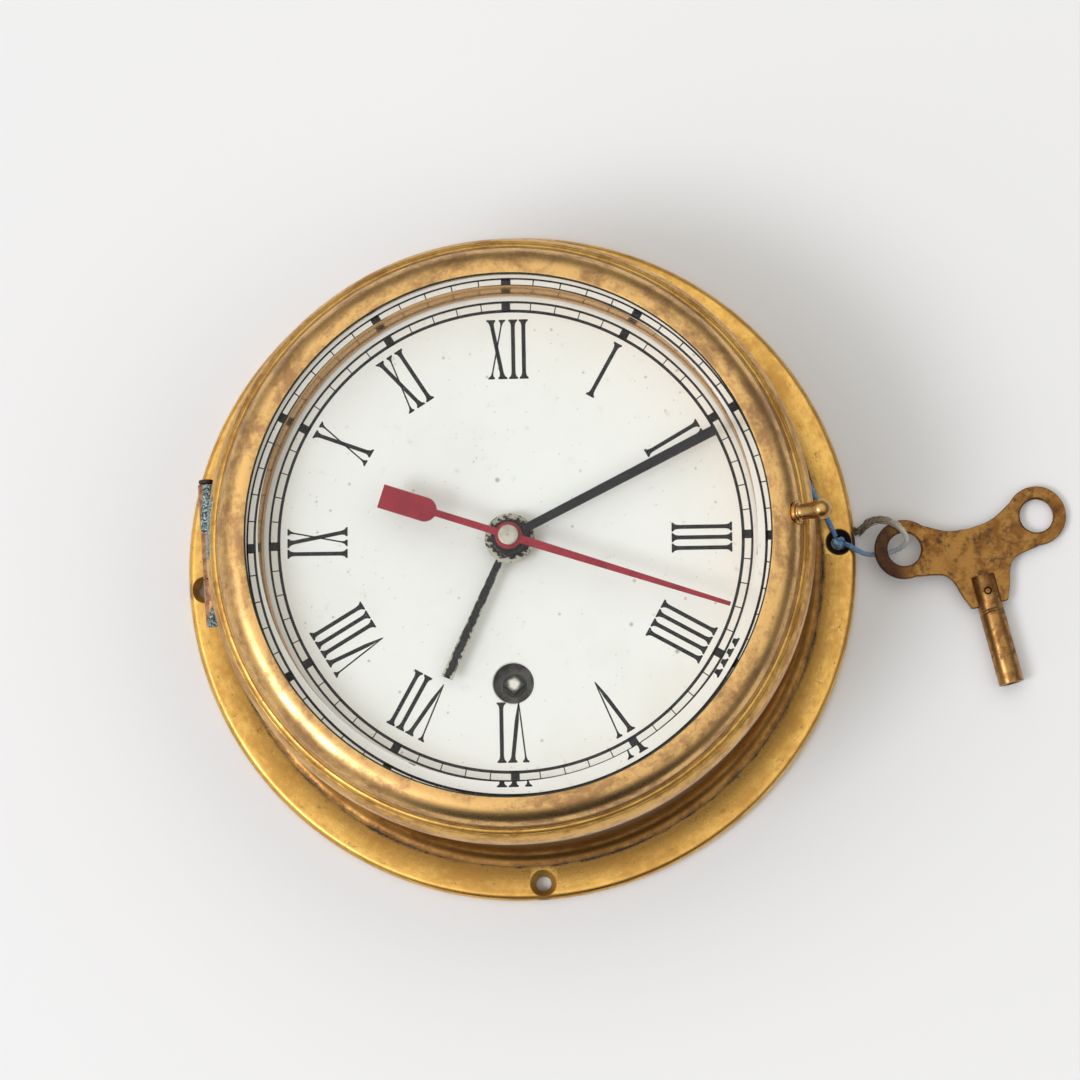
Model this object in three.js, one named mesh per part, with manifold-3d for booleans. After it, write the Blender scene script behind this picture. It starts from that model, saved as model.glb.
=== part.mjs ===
// A ships clock: a brass drum on a round mounting flange, a hinged bezel with bevelled glass,
// an enamelled dial, an eight day movement and a winding key that is tied to the flange with string.
// Millimetres, +Z out through the dial, +Y towards XII, the origin at the centre of the back face.
import * as THREE from "three";
import { mergeVertices } from "three/addons/utils/BufferGeometryUtils.js";
import Module from "manifold-3d";

const wasm = await Module();
wasm.setup();

const { degToRad } = THREE.MathUtils;

// Clearances
const SEAT_GAP = 0.3; // between pieces that are fixed to each other
const RUNNING_GAP = 0.15; // radial, between a shaft and its hole
const SWING_GAP = 0.4; // between a moving piece and what it passes
const TUBE_GAP = 0.2; // radial, between the tubes at the centre
const CUT_PAST = 1; // how far a cutting shape goes past the face that it cuts
const MERGE_DISTANCE = 1e-4; // corners closer than this are one

// How many flat sides stand for a circle
const CASE_SIDES = 54;
const PLATE_SIDES = 28;
const HUB_SIDES = 18;
const RING_SIDES = 16;
const SHAFT_SIDES = 12;
const SMALL_SIDES = 8;
const ARC_STEPS = 3; // in a quarter of a large moulding
const EDGE_STEPS = 3; // in a quarter of a small one

// Case
const CASE_TURN = degToRad(2.8); // the case sits a little turned round its dial
const FLANGE_WIDTH = 14; // rim outside the drum's wall
const FLANGE_THICKNESS = 5;
const FLANGE_ROUND = 1.8; // front edge
const FLANGE_CHAMFER = 2.4; // back edge
const FLANGE_SCREW_INSET = 4.5; // hole centres from the rim
const FLANGE_SCREWS = 4;
const SCREW_HOLE_RADIUS = 2.1;
const COUNTERSINK_RADIUS = 3.7;
const DRUM_RADIUS = 78;
const DRUM_WALL = 1.5;
const DRUM_HEIGHT = 57.5; // front rim above the back face
const FOOT_REACH = 4.8; // how far the drum's foot flares out
const FOOT_RISE = 6.2; // height of that flare
const FOOT_EDGE = 0.5;
const SPIGOT_STEP = 1.1; // the foot's spigot in the flange stands out from the wall by this
const BACK_THICKNESS = 2.5;

// Bezel, with heights above its own back edge
const BEZEL_RISE = 16.2;
const LIP_INSET = 8.7; // lip's edge inside the drum's outer wall
const LIP_LAND = 0.8;
const LIP_THICKNESS = 0.8;
const OVOLO_REACH = 6.6;
const OVOLO_DROP = 5;
const BAND_WIDTH = 0.4;
const BAND_DROP = 0.2;
const GROOVE_WIDTH = 0.3;
const GROOVE_DEPTH = 0.8;
const BEAD_WIDTH = 3.2;
const BEAD_DROP = 8;
const SKIRT_CHAMFER = 0.4;
const RABBET_WIDTH = 1.6; // ring that enters the drum
const RABBET_DEPTH = 3;
const RABBET_INSET = 1.7; // from the drum's inner wall

// Glass
const GLASS_EDGE = 1; // thickness at the rim
const BEVEL_ANGLE = degToRad(35);
const GLASS_UNDER_LIP = 1.3; // how far the glass reaches under the lip
const BEVEL_WIDTH = 5.7;
const RETAINER_WALL = 4.1; // of the retaining ring, below the middle of its flare
const RETAINER_FOOT = 1.1; // inwards from there at the dial
const RETAINER_FLARE = 2.8; // outwards from there under the glass

// Hinge on the left, local Y along its pin
const KNUCKLE_RADIUS = 2.2;
const HINGE_PIN_RADIUS = 1.1;
const HINGE_LENGTH = 38;
const HINGE_OFFSET = 2.4; // along the pin from the case's centre line
const HINGE_DROP = 1.5; // axis below the drum's rim
const KNUCKLE_SINK = 0.1; // how far the knuckles lie inside the drum's wall
const MIDDLE_KNUCKLE = 12.4;
const PIN_HEAD_RADIUS = 1.9;
const PIN_HEAD_HEIGHT = 1;
const CASE_LEAF_THICKNESS = 2.1;
const CASE_LEAF_DEPTH = 12;
const BEZEL_LEAF_THICKNESS = 1;
const BEZEL_LEAF_REACH = 5.5; // from the axis towards the centre

// Pull knob and catch
const KNOB_TILT = degToRad(60); // from +Z outwards
const KNOB_SINK = 0.8; // its seat below the ovolo's surface
const KNOB_COLLAR_RADIUS = 3.1;
const KNOB_COLLAR_HEIGHT = 1.8;
const KNOB_STEM_RADIUS = 2.1;
const KNOB_DOME_RADIUS = 2.8;
const KNOB_LENGTH = 10.5;
const KNOB_PEG_RADIUS = 1.2;
const KNOB_PEG_LENGTH = 3;
const CATCH_WIDTH = 8;
const CATCH_HEIGHT = 13;

// Dial
const DIAL_THICKNESS = 1;
const DIAL_EDGE_GAP = 0.6; // to the bezel's rabbet
const DIAL_CENTRE_HOLE = 4.6;
const WINDING_DROP = 38; // winding arbor below the centre
const WINDING_HOLE_RADIUS = 5.4;

// Movement frame
const DIAL_FOOT_LENGTH = 7;
const DIAL_FOOT_RADIUS = 1.6;
const DIAL_FOOT_INSET = 4; // from the plate's edge, as the next insets
const PLATE_INSET = 15.5; // from the drum's inner wall
const PLATE_THICKNESS = 2;
const PILLAR_LENGTH = 28.5;
const PILLAR_RADIUS = 3;
const PILLAR_INSET = 6;
const PLATE_SCREW_RADIUS = 1.2;
const SCREW_HEAD_RADIUS = 2.6;
const SCREW_HEAD_HEIGHT = 1.4;
const SCREW_DEPTH = 5;
const POST_RADIUS = 3.6;
const POST_INSET = 9;
const PILLAR_BEARINGS = [90, 210, 330];
const POST_BEARINGS = [30, 150, 270]; // of the posts and the dial's feet

// Gear teeth, in modules, and half widths as shares of the pitch
const ADDENDUM = 0.95;
const DEDENDUM = 1.3;
const TIP_HALF = 0.1;
const ROOT_HALF = 0.29;

// Going train: tooth counts, modules and levels above the rear plate
const GREAT_WHEEL = { teeth: 36, level: 18, thickness: 2 };
const TRAIN_FOLD = 25.279; // degrees at the centre, from the winding arbor to the intermediate arbor
const INTERMEDIATE_PINION = { teeth: 6 };
const INTERMEDIATE_WHEEL = { teeth: 56, module: 0.56, level: 22 };
const CENTRE_PINION = { teeth: 8 };
const CENTRE_WHEEL = { teeth: 48, module: 0.6, level: 14 };
const THIRD_PINION = { teeth: 6 };
const THIRD_WHEEL = { teeth: 45, level: 8 };
const FOURTH_PINION = { teeth: 6 };
const FOURTH_WHEEL = { teeth: 48, module: 0.5333, level: 3 };
const ESCAPE_PINION = { teeth: 6 };
const WHEEL_THICKNESS = 1.5;
const PINION_OVERHANG = 1; // a pinion is this much longer than its wheel at each side
const THIRD_BEARING = degToRad(150);
const ESCAPE_BEARING = degToRad(40);
const ARBOR_RADIUS = 1;

// Mainspring barrel and winding
const BARREL_RADIUS = 17;
const BARREL_WALL = 1.2;
const BARREL_COVER_LEVEL = 1.5;
const BARREL_COVER_THICKNESS = 1.2;
const WINDING_ARBOR_RADIUS = 3;
const ARBOR_HUB_RADIUS = 4.2;
const WINDING_SQUARE = 3.8;
const WINDING_SQUARE_RECESS = 2; // square's end below the dial face
const SPRING_TURNS = 3;
const SPRING_STRIP = 1;
const SPRING_STEPS = 14; // a turn
const RATCHET_TEETH = 30;
const RATCHET_RADIUS = 8.5;
const RATCHET_TOOTH = 1.1;
const RATCHET_THICKNESS = 1.4;
const CLICK_BEARING = degToRad(35);
const CLICK_REACH = 13.5; // click pivot from the winding arbor
const CLICK_LEAD = degToRad(35); // beak ahead of the pivot, round the winding arbor
const CLICK_HUB_RADIUS = 2.8;
const CLICK_SHOULDER_RADIUS = 1.7;
const CLICK_BEAK = 1; // thickness at its end
const CLICK_LIFT = 1; // room for the click to lift
const CLICK_SPRING_STRIP = 0.8;
const CLICK_SPRING_LENGTH = 13;

// Escapement
const ESCAPE_TEETH = 15;
const ESCAPE_RADIUS = 5.2;
const ESCAPE_TOOTH = 1.6;
const ESCAPE_UNDERCUT = 0.15; // share of the pitch
const ESCAPE_LEVEL = 9;
const ESCAPE_THICKNESS = 1;
const FINE_ARBOR_RADIUS = 0.6;
const PALLET_REACH = 7.2; // from the escape arbor
const PALLET_STONE = 1.1;
const PALLET_SPREAD = degToRad(38);
const BALANCE_REACH = 9.5; // from the pallet arbor
const BALANCE_RADIUS = 9;
const BALANCE_RIM = 1.4;
const BALANCE_LEVEL = 14;
const BALANCE_THICKNESS = 1.2;
const ROLLER_RADIUS = 1.5;
const COCK_POST_REACH = 14.2; // from the balance
const COCK_POST_RADIUS = 3;
const COCK_ARM_WIDTH = 4.4;
const COCK_ARM_THICKNESS = 1.5;
const COCK_LOWER_LEVEL = 11.3;
const COCK_UPPER_LEVEL = 17.2;
const HAIRSPRING_TURNS = 3;
const HAIRSPRING_RADIUS = 5.2;
const HAIRSPRING_STRIP = 0.35;
const HAIRSPRING_HEIGHT = 0.6;
const HAIRSPRING_STEPS = 12; // a turn

// Motion work, with levels above the front plate
const MOTION_MODULE = 0.6;
const CANNON_TEETH = 10;
const MINUTE_WHEEL_TEETH = 30;
const MINUTE_PINION_TEETH = 8;
const HOUR_WHEEL_TEETH = 32;
const MOTION_BEARING = degToRad(60);
const MOTION_THICKNESS = 1;
const MINUTE_WHEEL_LEVEL = 0.7;
const HOUR_WHEEL_LEVEL = 2.6;
const MOTION_POST_RADIUS = 1.2;
const MOTION_POST_SHANK = 0.7;
const SECONDS_ARBOR_RADIUS = 0.7;
const TUBE_WALL = 0.65;
const HOUR_PIPE_WALL = 0.75;
const PIPE_SHOULDER = 0.4; // step that a hand sits on

// Hands, heights above the dial face, angles clockwise from XII, tipGap to the glass's retaining ring
const HAND_THICKNESS = 0.8;
const HOUR_HAND = { height: 4, angle: 205.3, length: 40.5, width: 2, tip: 3.1, hub: 6.6 };
const MINUTE_HAND = { height: 6.7, angle: 63.8, tipGap: 5, width: 2.3, tip: 2.7, hub: 4.7 };
const SECONDS_HAND = { height: 9.6, angle: 108.8, tipGap: 5.5, width: 2.2, tip: 1.1, hub: 3.2 };
const SECONDS_TAIL = { start: 20, end: 35.3, width: 6.4, stem: 1.8 };
const BOSS_RADIUS = 2.6;
const BOSS_HEIGHT = 1.7;
const BOSS_COLLAR_RADIUS = 1.9;
const BOSS_STEM_RADIUS = 1.3;

// Winding key, lying on its barrel beside the flange
const KEY_OFFSET = [31.5, 6.03]; // across from the flange's rim, and up
const KEY_TURN = degToRad(13.4);
const KEY_TILT = degToRad(4.7); // the ring away from the clock lies lower
const KEY_RING_PLACE = 18.85;
const KEY_RING_RADIUS = 8.15;
const KEY_RING_HOLE = 4.65;
const KEY_PLATE = 1.8;
const KEY_WAIST = [
  [0, 1.1],
  [6.3, 2],
]; // upper edge between the rings
const BOW_ARC_FROM = 140; // degrees round a ring, where its outline starts and ends
const BOW_ARC_TO = -99;
const BOW_STEPS = 14;
const KEY_BARREL_RADIUS = 3.45;
const KEY_BARREL_TOP = -12.3;
const KEY_BARREL_LENGTH = 30.7;
const KEY_PRONG_END = -20.6;
const KEY_PRONG_HALF = 5.4;
const KEY_PRONG_SWELL = 1.2; // wider by this at the pin
const KEY_SHOULDER = [9.4, -10.2];
const KEY_PIN_RADIUS = 0.8;
const KEY_PIN_PLACE = -17;
const KEY_SOCKET_DEPTH = 13;
const KEY_SOCKET_GAP = 0.25;
const KEY_REST = 0.15; // barrel above the table

// String
const STRING_RADIUS = 0.7;
const STRING_SIDES = 8;
const STRING_STEP = 4; // radii between two sections
const KNOT_RADIUS = 1.7;
const KNOT_HEIGHT = 4.2;
// Across from the flange's rim, up, and above the table
const KEY_STRING_ROUTE = [
  [-2.8, 3.6, 5.1],
  [-1.7, 3, 6.05],
  [-0.4, 2.2, 6.15],
  [1, 1.4, 5.7],
  [2.5, 0.9, 4.8],
  [4.2, 0.7, 3.8],
  [6.2, 0.8, 3.4],
  [8.4, 1.1, 3.3],
  [10.3, 1.5, 3.7],
  [12, 2.1, 4.8],
  [13.4, 3.1, 5.9],
  [14, 4.4, 6.9],
  [13.3, 6.1, 7.3],
  [12, 7.7, 7.3],
  [10.5, 8.8, 7.2],
  [8.8, 9.6, 6.7],
  [6.6, 9.9, 5.8],
  [4.4, 9.6, 4.7],
  [2.5, 8.9, 3.5],
  [1.4, 8.1, 2.5],
  [0.7, 7.5, 1.7],
  [-0.1, 7, 1.05],
];
// Inside the flange's rim, degrees round from +X, and above the table
const STRING_TAIL_ROUTE = [
  [5.3, 3.9, 5.3],
  [5.79, 4.86, 6.15],
  [6.49, 6.24, 6.3],
  [7.27, 8.01, 6.35],
  [8.15, 9.89, 6.7],
  [9.04, 11.82, 7.1],
  [9.68, 13.92, 7.2],
  [10.16, 16.18, 7.25],
  [10.44, 18.59, 7.3],
  [10.64, 21.11, 7.35],
  [10.77, 23.66, 7.35],
  [10.83, 26.25, 7.35],
];

// Sizes that follow from those above
const FLANGE_RADIUS = DRUM_RADIUS + FLANGE_WIDTH;
const FLANGE_SCREW_CIRCLE = FLANGE_RADIUS - FLANGE_SCREW_INSET;
const LIP_RADIUS = DRUM_RADIUS - LIP_INSET;
const FLANGE_BORE = DRUM_RADIUS + SPIGOT_STEP + SEAT_GAP;
const DRUM_INNER = DRUM_RADIUS - DRUM_WALL;
const PLATE_RADIUS = DRUM_INNER - PLATE_INSET;
const FOOT_BOTTOM = FLANGE_THICKNESS + SEAT_GAP;
const DIAL_FACE = DRUM_HEIGHT;
const DIAL_BACK = DIAL_FACE - DIAL_THICKNESS;
const FRONT_TOP = DIAL_BACK - DIAL_FOOT_LENGTH;
const FRONT_BOTTOM = FRONT_TOP - PLATE_THICKNESS;
const REAR_TOP = FRONT_BOTTOM - PILLAR_LENGTH;
const REAR_BOTTOM = REAR_TOP - PLATE_THICKNESS;
const PIVOT_BOTTOM = REAR_BOTTOM + SEAT_GAP;
const PIVOT_TOP = FRONT_TOP - SEAT_GAP;
const BEZEL_BOTTOM = DRUM_HEIGHT + SEAT_GAP;
const LIP_HEIGHT = BEZEL_BOTTOM + BEZEL_RISE;
const GLASS_RADIUS = LIP_RADIUS + GLASS_UNDER_LIP;
const GLASS_FLAT_RADIUS = GLASS_RADIUS - BEVEL_WIDTH;
const bevelFall = (radius) => (radius - GLASS_FLAT_RADIUS) * Math.tan(BEVEL_ANGLE);
const GLASS_TOP = LIP_HEIGHT - LIP_THICKNESS - SEAT_GAP + bevelFall(LIP_RADIUS);
const GLASS_BOTTOM = GLASS_TOP - bevelFall(GLASS_RADIUS) - GLASS_EDGE;
const BEZEL_BORE = GLASS_RADIUS + SEAT_GAP;
const RETAINER_INNER = GLASS_RADIUS - RETAINER_WALL;
const OVOLO_FOOT = [LIP_RADIUS + LIP_LAND + OVOLO_REACH, LIP_HEIGHT - OVOLO_DROP];
const BAND_EDGE = [OVOLO_FOOT[0] + BAND_WIDTH, OVOLO_FOOT[1] - BAND_DROP];
const GROOVE_FLOOR = [BAND_EDGE[0] + GROOVE_WIDTH, BAND_EDGE[1] - GROOVE_DEPTH];
const BEAD_EDGE = [GROOVE_FLOOR[0] + BEAD_WIDTH, GROOVE_FLOOR[1] - BEAD_DROP];
const RABBET_OUTER = DRUM_INNER - RABBET_INSET;
const RABBET_INNER = RABBET_OUTER - RABBET_WIDTH;
const DIAL_RADIUS = RABBET_INNER - DIAL_EDGE_GAP;
const KNUCKLE_CLEAR = KNUCKLE_RADIUS + SWING_GAP;
const HINGE_REACH = DRUM_RADIUS + KNUCKLE_RADIUS - KNUCKLE_SINK;
const HINGE_HEIGHT = DRUM_HEIGHT - HINGE_DROP;
const HINGE_LOW = HINGE_OFFSET - HINGE_LENGTH / 2;
const HINGE_HIGH = HINGE_OFFSET + HINGE_LENGTH / 2;
const BEZEL_LEAF_BOTTOM = DRUM_HEIGHT + SWING_GAP;
const BEZEL_LEAF_TOP = BEZEL_LEAF_BOTTOM + BEZEL_LEAF_THICKNESS;
const BEZEL_LEAF_END = BEZEL_LEAF_REACH - HINGE_REACH;
const OVOLO_CENTRE = [LIP_RADIUS + LIP_LAND, OVOLO_FOOT[1]];
// Where on the ovolo's ellipse its surface faces along the knob
const KNOB_STAND = Math.atan2(OVOLO_DROP * Math.cos(KNOB_TILT), OVOLO_REACH * Math.sin(KNOB_TILT));
const KNOB_SEAT = [
  OVOLO_CENTRE[0] + OVOLO_REACH * Math.cos(KNOB_STAND) - KNOB_SINK * Math.sin(KNOB_TILT),
  OVOLO_CENTRE[1] + OVOLO_DROP * Math.sin(KNOB_STAND) - KNOB_SINK * Math.cos(KNOB_TILT),
];
const SCREW_HOLE = PLATE_SCREW_RADIUS + SEAT_GAP;

// Places of the arbors, worked out from the gears' centre distances
const WINDING_PLACE = [0, -WINDING_DROP];
const centreDistance = (wheel, pinion, module) => ((wheel.teeth + pinion.teeth) * module) / 2;
const INTERMEDIATE_REACH = centreDistance(INTERMEDIATE_WHEEL, CENTRE_PINION, INTERMEDIATE_WHEEL.module);
const THIRD_REACH = centreDistance(CENTRE_WHEEL, THIRD_PINION, CENTRE_WHEEL.module);
const THIRD_MODULE = (2 * THIRD_REACH) / (THIRD_WHEEL.teeth + FOURTH_PINION.teeth);
const ESCAPE_REACH = centreDistance(FOURTH_WHEEL, ESCAPE_PINION, FOURTH_WHEEL.module);
const MOTION_REACH = ((CANNON_TEETH + MINUTE_WHEEL_TEETH) * MOTION_MODULE) / 2;
const INTERMEDIATE_BEARING = -Math.PI / 2 - degToRad(TRAIN_FOLD);
const INTERMEDIATE_PLACE = polar(INTERMEDIATE_REACH, INTERMEDIATE_BEARING);
const GREAT_REACH = Math.hypot(INTERMEDIATE_PLACE[0], INTERMEDIATE_PLACE[1] + WINDING_DROP);
const GREAT_MODULE = (2 * GREAT_REACH) / (GREAT_WHEEL.teeth + INTERMEDIATE_PINION.teeth);
const THIRD_PLACE = polar(THIRD_REACH, THIRD_BEARING);
const ESCAPE_PLACE = polar(ESCAPE_REACH, ESCAPE_BEARING);
const PALLET_PLACE = polar(ESCAPE_REACH + PALLET_REACH, ESCAPE_BEARING);
const BALANCE_REACHED = ESCAPE_REACH + PALLET_REACH + BALANCE_REACH;
const BALANCE_PLACE = polar(BALANCE_REACHED, ESCAPE_BEARING);
const MOTION_PLACE = polar(MOTION_REACH, MOTION_BEARING);
const CLICK_PLACE = along(WINDING_PLACE, CLICK_REACH, CLICK_BEARING);
const threePlaces = (inset, bearings) => bearings.map((b) => polar(PLATE_RADIUS - inset, degToRad(b)));
const PILLAR_PLACES = threePlaces(PILLAR_INSET, PILLAR_BEARINGS);
const POST_PLACES = threePlaces(POST_INSET, POST_BEARINGS);
const DIAL_FOOT_PLACES = threePlaces(DIAL_FOOT_INSET, POST_BEARINGS);

// Radii of the tubes that turn one inside the other at the centre
const CENTRE_BORE = SECONDS_ARBOR_RADIUS + TUBE_GAP;
const CENTRE_TUBE = CENTRE_BORE + TUBE_WALL;
const CANNON_BORE = CENTRE_TUBE + TUBE_GAP;
const CANNON_TUBE = CANNON_BORE + TUBE_WALL;
const HOUR_BORE = CANNON_TUBE + TUBE_GAP;
const HOUR_PIPE = HOUR_BORE + HOUR_PIPE_WALL;
const HOUR_HAND_BOTTOM = DIAL_FACE + HOUR_HAND.height;
const MINUTE_HAND_BOTTOM = DIAL_FACE + MINUTE_HAND.height;
const SECONDS_HAND_BOTTOM = DIAL_FACE + SECONDS_HAND.height;
const SECONDS_HAND_TOP = SECONDS_HAND_BOTTOM + HAND_THICKNESS;

// Materials
function finish(color, roughness, metalness) {
  return new THREE.MeshStandardMaterial({ color, roughness, metalness });
}
const GOLDEN_BRASS = finish(0xc8964b, 0.35, 1);
const AGED_BRASS = finish(0xa9793f, 0.4, 1);
const BROWN_BRASS = finish(0x7c5328, 0.5, 1);
const MOVEMENT_BRASS = finish(0xcfa45a, 0.3, 1);
const STEEL = finish(0xb4b6b8, 0.3, 1);
const BLUE_STEEL = finish(0x3a4660, 0.3, 1);
const CLEAR_GLASS = finish(0xe4efe9, 0.02, 0);
const ENAMEL = finish(0xe6e8e0, 0.3, 0);
const BLACK_PAINT = finish(0x323034, 0.5, 0);
const RED_PAINT = finish(0xa52d3c, 0.4, 0);
const BLUE_STRING = finish(0x5c8ec4, 0.9, 0);

// A geometry with only positions, shared corners merged and flat slivers dropped, as a solid.
function solid(geometry) {
  const bare = new THREE.BufferGeometry();
  bare.setAttribute("position", geometry.getAttribute("position"));
  bare.setIndex(geometry.index);
  const merged = mergeVertices(bare, MERGE_DISTANCE);
  const corners = merged.index.array;
  const kept = [];
  for (let i = 0; i < corners.length; i += 3) {
    const [a, b, c] = corners.subarray(i, i + 3);
    if (a !== b && b !== c && c !== a) kept.push(a, b, c);
  }
  const vertProperties = merged.getAttribute("position").array;
  return new wasm.Manifold(new wasm.Mesh({ numProp: 3, vertProperties, triVerts: new Uint32Array(kept) }));
}

function geometryOf(made) {
  const mesh = made.getMesh();
  const geometry = new THREE.BufferGeometry();
  geometry.setAttribute("position", new THREE.BufferAttribute(mesh.vertProperties, 3));
  geometry.setIndex(new THREE.BufferAttribute(mesh.triVerts, 1));
  return geometry;
}

function join(...pieces) {
  return geometryOf(pieces.map(solid).reduce((whole, piece) => whole.add(piece)));
}

function cut(body, ...tools) {
  return geometryOf(tools.map(solid).reduce((rest, tool) => rest.subtract(tool), solid(body)));
}

function common(one, other) {
  return geometryOf(solid(one).intersect(solid(other)));
}

function polar(radius, angle) {
  return [radius * Math.cos(angle), radius * Math.sin(angle)];
}

function along([x, y], radius, angle) {
  const [dx, dy] = polar(radius, angle);
  return [x + dx, y + dy];
}

// Points on a quarter ellipse, from one of its axes to the other.
function quarterArc([x, y], across, up, steps) {
  return Array.from({ length: steps + 1 }, (_, i) => {
    const angle = (Math.PI / 2) * (i / steps);
    return [x + across * Math.cos(angle), y + up * Math.sin(angle)];
  });
}

// A closed outline of [radius, height] points turned about Z.
function turned(outline, sides) {
  const points = outline.map(([radius, height]) => new THREE.Vector2(radius, height));
  if (THREE.ShapeUtils.isClockWise(points)) points.reverse();
  points.push(points[0].clone());
  return geometryOf(solid(new THREE.LatheGeometry(points, sides).rotateX(Math.PI / 2)));
}

// A stepped shaft: each step is [radius, from, to], and the next one stands on it.
function shaft(steps, sides = SHAFT_SIDES) {
  const outline = [[0, steps[0][1]]];
  for (const [radius, from, to] of steps) outline.push([radius, from], [radius, to]);
  outline.push([0, steps.at(-1)[2]]);
  return turned(outline, sides);
}

function disc(radius, from, to, sides = SHAFT_SIDES) {
  return shaft([[radius, from, to]], sides);
}

// A drill through everything, for cutting, whose flat sides all lie outside the radius.
function drill(radius) {
  return disc(radius / Math.cos(Math.PI / SHAFT_SIDES), -DRUM_HEIGHT, 2 * DRUM_HEIGHT);
}

function ring(inner, outer, from, to, sides) {
  const outline = [
    [inner, from],
    [outer, from],
    [outer, to],
    [inner, to],
  ];
  return turned(outline, sides);
}

function block(x0, x1, y0, y1, z0, z1) {
  const box = new THREE.BoxGeometry(x1 - x0, y1 - y0, z1 - z0);
  return box.translate((x0 + x1) / 2, (y0 + y1) / 2, (z0 + z1) / 2);
}

function at(geometry, [x, y]) {
  return geometry.clone().translate(x, y, 0);
}

// A cylinder whose axis lies along Y.
function crossRod(radius, from, to, sides) {
  return disc(radius, -to, -from, sides).rotateX(Math.PI / 2);
}

function pathOf(points) {
  return points.map(([x, y]) => new THREE.Vector2(x, y));
}

function extruded(points, from, to, holes = []) {
  const shape = new THREE.Shape(pathOf(points));
  for (const hole of holes) shape.holes.push(new THREE.Path(pathOf(hole)));
  return new THREE.ExtrudeGeometry(shape, { depth: to - from, bevelEnabled: false }).translate(0, 0, from);
}

function circlePoints(radius, sides, centre = [0, 0]) {
  return Array.from({ length: sides }, (_, i) => along(centre, radius, (2 * Math.PI * i) / sides));
}

// Outline of a spur gear with straight sided teeth, the first one centred on the angle phase.
// A wheel's teeth are pointed, a pinion's leaves have flat ends.
function gearOutline(teeth, module, phase, pointed) {
  const pitch = (2 * Math.PI) / teeth;
  const pitchRadius = (teeth * module) / 2;
  const root = pitchRadius - DEDENDUM * module;
  const tip = pitchRadius + ADDENDUM * module;
  return Array.from({ length: teeth }, (_, i) => {
    const middle = phase + i * pitch;
    const flatEnd = [polar(tip, middle - TIP_HALF * pitch), polar(tip, middle + TIP_HALF * pitch)];
    return [
      polar(root, middle - ROOT_HALF * pitch),
      ...(pointed ? [polar(tip, middle)] : flatEnd),
      polar(root, middle + ROOT_HALF * pitch),
    ];
  }).flat();
}

function wheel(teeth, module, phase, from, to) {
  return extruded(gearOutline(teeth, module, phase, true), from, to);
}

function pinion(teeth, module, phase, from, to) {
  return extruded(gearOutline(teeth, module, phase, false), from, to);
}

// The phase at which a second gear, seen from the first in the given direction,
// has a gap for the first one's tooth.
function meshPhase(phase, teeth, otherTeeth, direction) {
  return direction + Math.PI + ((direction - phase) * teeth) / otherTeeth - Math.PI / otherTeeth;
}

// A band of even width wound from an inner to an outer radius.
function spiral(inner, outer, turns, width, stepsPerTurn, from, to) {
  const count = turns * stepsPerTurn;
  const edge = (offset) =>
    Array.from({ length: count + 1 }, (_, i) => {
      const radius = inner + ((outer - inner) * i) / count;
      return polar(radius + offset, (2 * Math.PI * i) / stepsPerTurn);
    });
  return extruded([...edge(width / 2), ...edge(-width / 2).reverse()], from, to);
}

function mountingFlange() {
  const roundCentre = [FLANGE_RADIUS - FLANGE_ROUND, FLANGE_THICKNESS - FLANGE_ROUND];
  const outline = [
    [FLANGE_BORE, 0],
    [FLANGE_RADIUS - FLANGE_CHAMFER, 0],
    [FLANGE_RADIUS, FLANGE_CHAMFER],
    ...quarterArc(roundCentre, FLANGE_ROUND, FLANGE_ROUND, EDGE_STEPS),
    [FLANGE_BORE, FLANGE_THICKNESS],
  ];
  const coneDepth = COUNTERSINK_RADIUS - SCREW_HOLE_RADIUS;
  const holeTool = shaft([
    [SCREW_HOLE_RADIUS, -CUT_PAST, FLANGE_THICKNESS - coneDepth],
    [COUNTERSINK_RADIUS, FLANGE_THICKNESS, FLANGE_THICKNESS + CUT_PAST],
  ]);
  const holes = Array.from({ length: FLANGE_SCREWS }, (_, i) =>
    at(holeTool, polar(FLANGE_SCREW_CIRCLE, (2 * Math.PI * i) / FLANGE_SCREWS)),
  );
  return cut(turned(outline, CASE_SIDES), ...holes);
}

// The drum's wall with its flared foot, hollowed a little where the hinge barrel lies.
function caseDrum() {
  const spigotRadius = DRUM_RADIUS + SPIGOT_STEP;
  const spigotBottom = BACK_THICKNESS + SEAT_GAP;
  const footRadius = DRUM_RADIUS + FOOT_REACH;
  const coveCentre = [footRadius, FOOT_BOTTOM + FOOT_EDGE + FOOT_RISE];
  const outline = [
    [DRUM_INNER, spigotBottom],
    [spigotRadius, spigotBottom],
    [spigotRadius, FOOT_BOTTOM],
    [footRadius, FOOT_BOTTOM],
    ...quarterArc(coveCentre, -FOOT_REACH, -FOOT_RISE, ARC_STEPS).reverse(),
    [DRUM_RADIUS, DRUM_HEIGHT],
    [DRUM_INNER, DRUM_HEIGHT],
  ];
  const notch = crossRod(KNUCKLE_CLEAR, HINGE_LOW - SWING_GAP, HINGE_HIGH + SWING_GAP, SHAFT_SIDES);
  return cut(turned(outline, CASE_SIDES), notch.translate(-HINGE_REACH, 0, HINGE_HEIGHT));
}

function backPlate() {
  const plate = disc(DRUM_RADIUS + SPIGOT_STEP, 0, BACK_THICKNESS, CASE_SIDES);
  const hole = shaft(
    [
      [SCREW_HEAD_RADIUS + SEAT_GAP, -CUT_PAST, SEAT_GAP + SCREW_HEAD_HEIGHT],
      [SCREW_HOLE, SEAT_GAP + SCREW_HEAD_HEIGHT, BACK_THICKNESS + CUT_PAST],
    ],
    SMALL_SIDES,
  );
  return cut(plate, ...POST_PLACES.map((place) => at(hole, place)));
}

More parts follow.
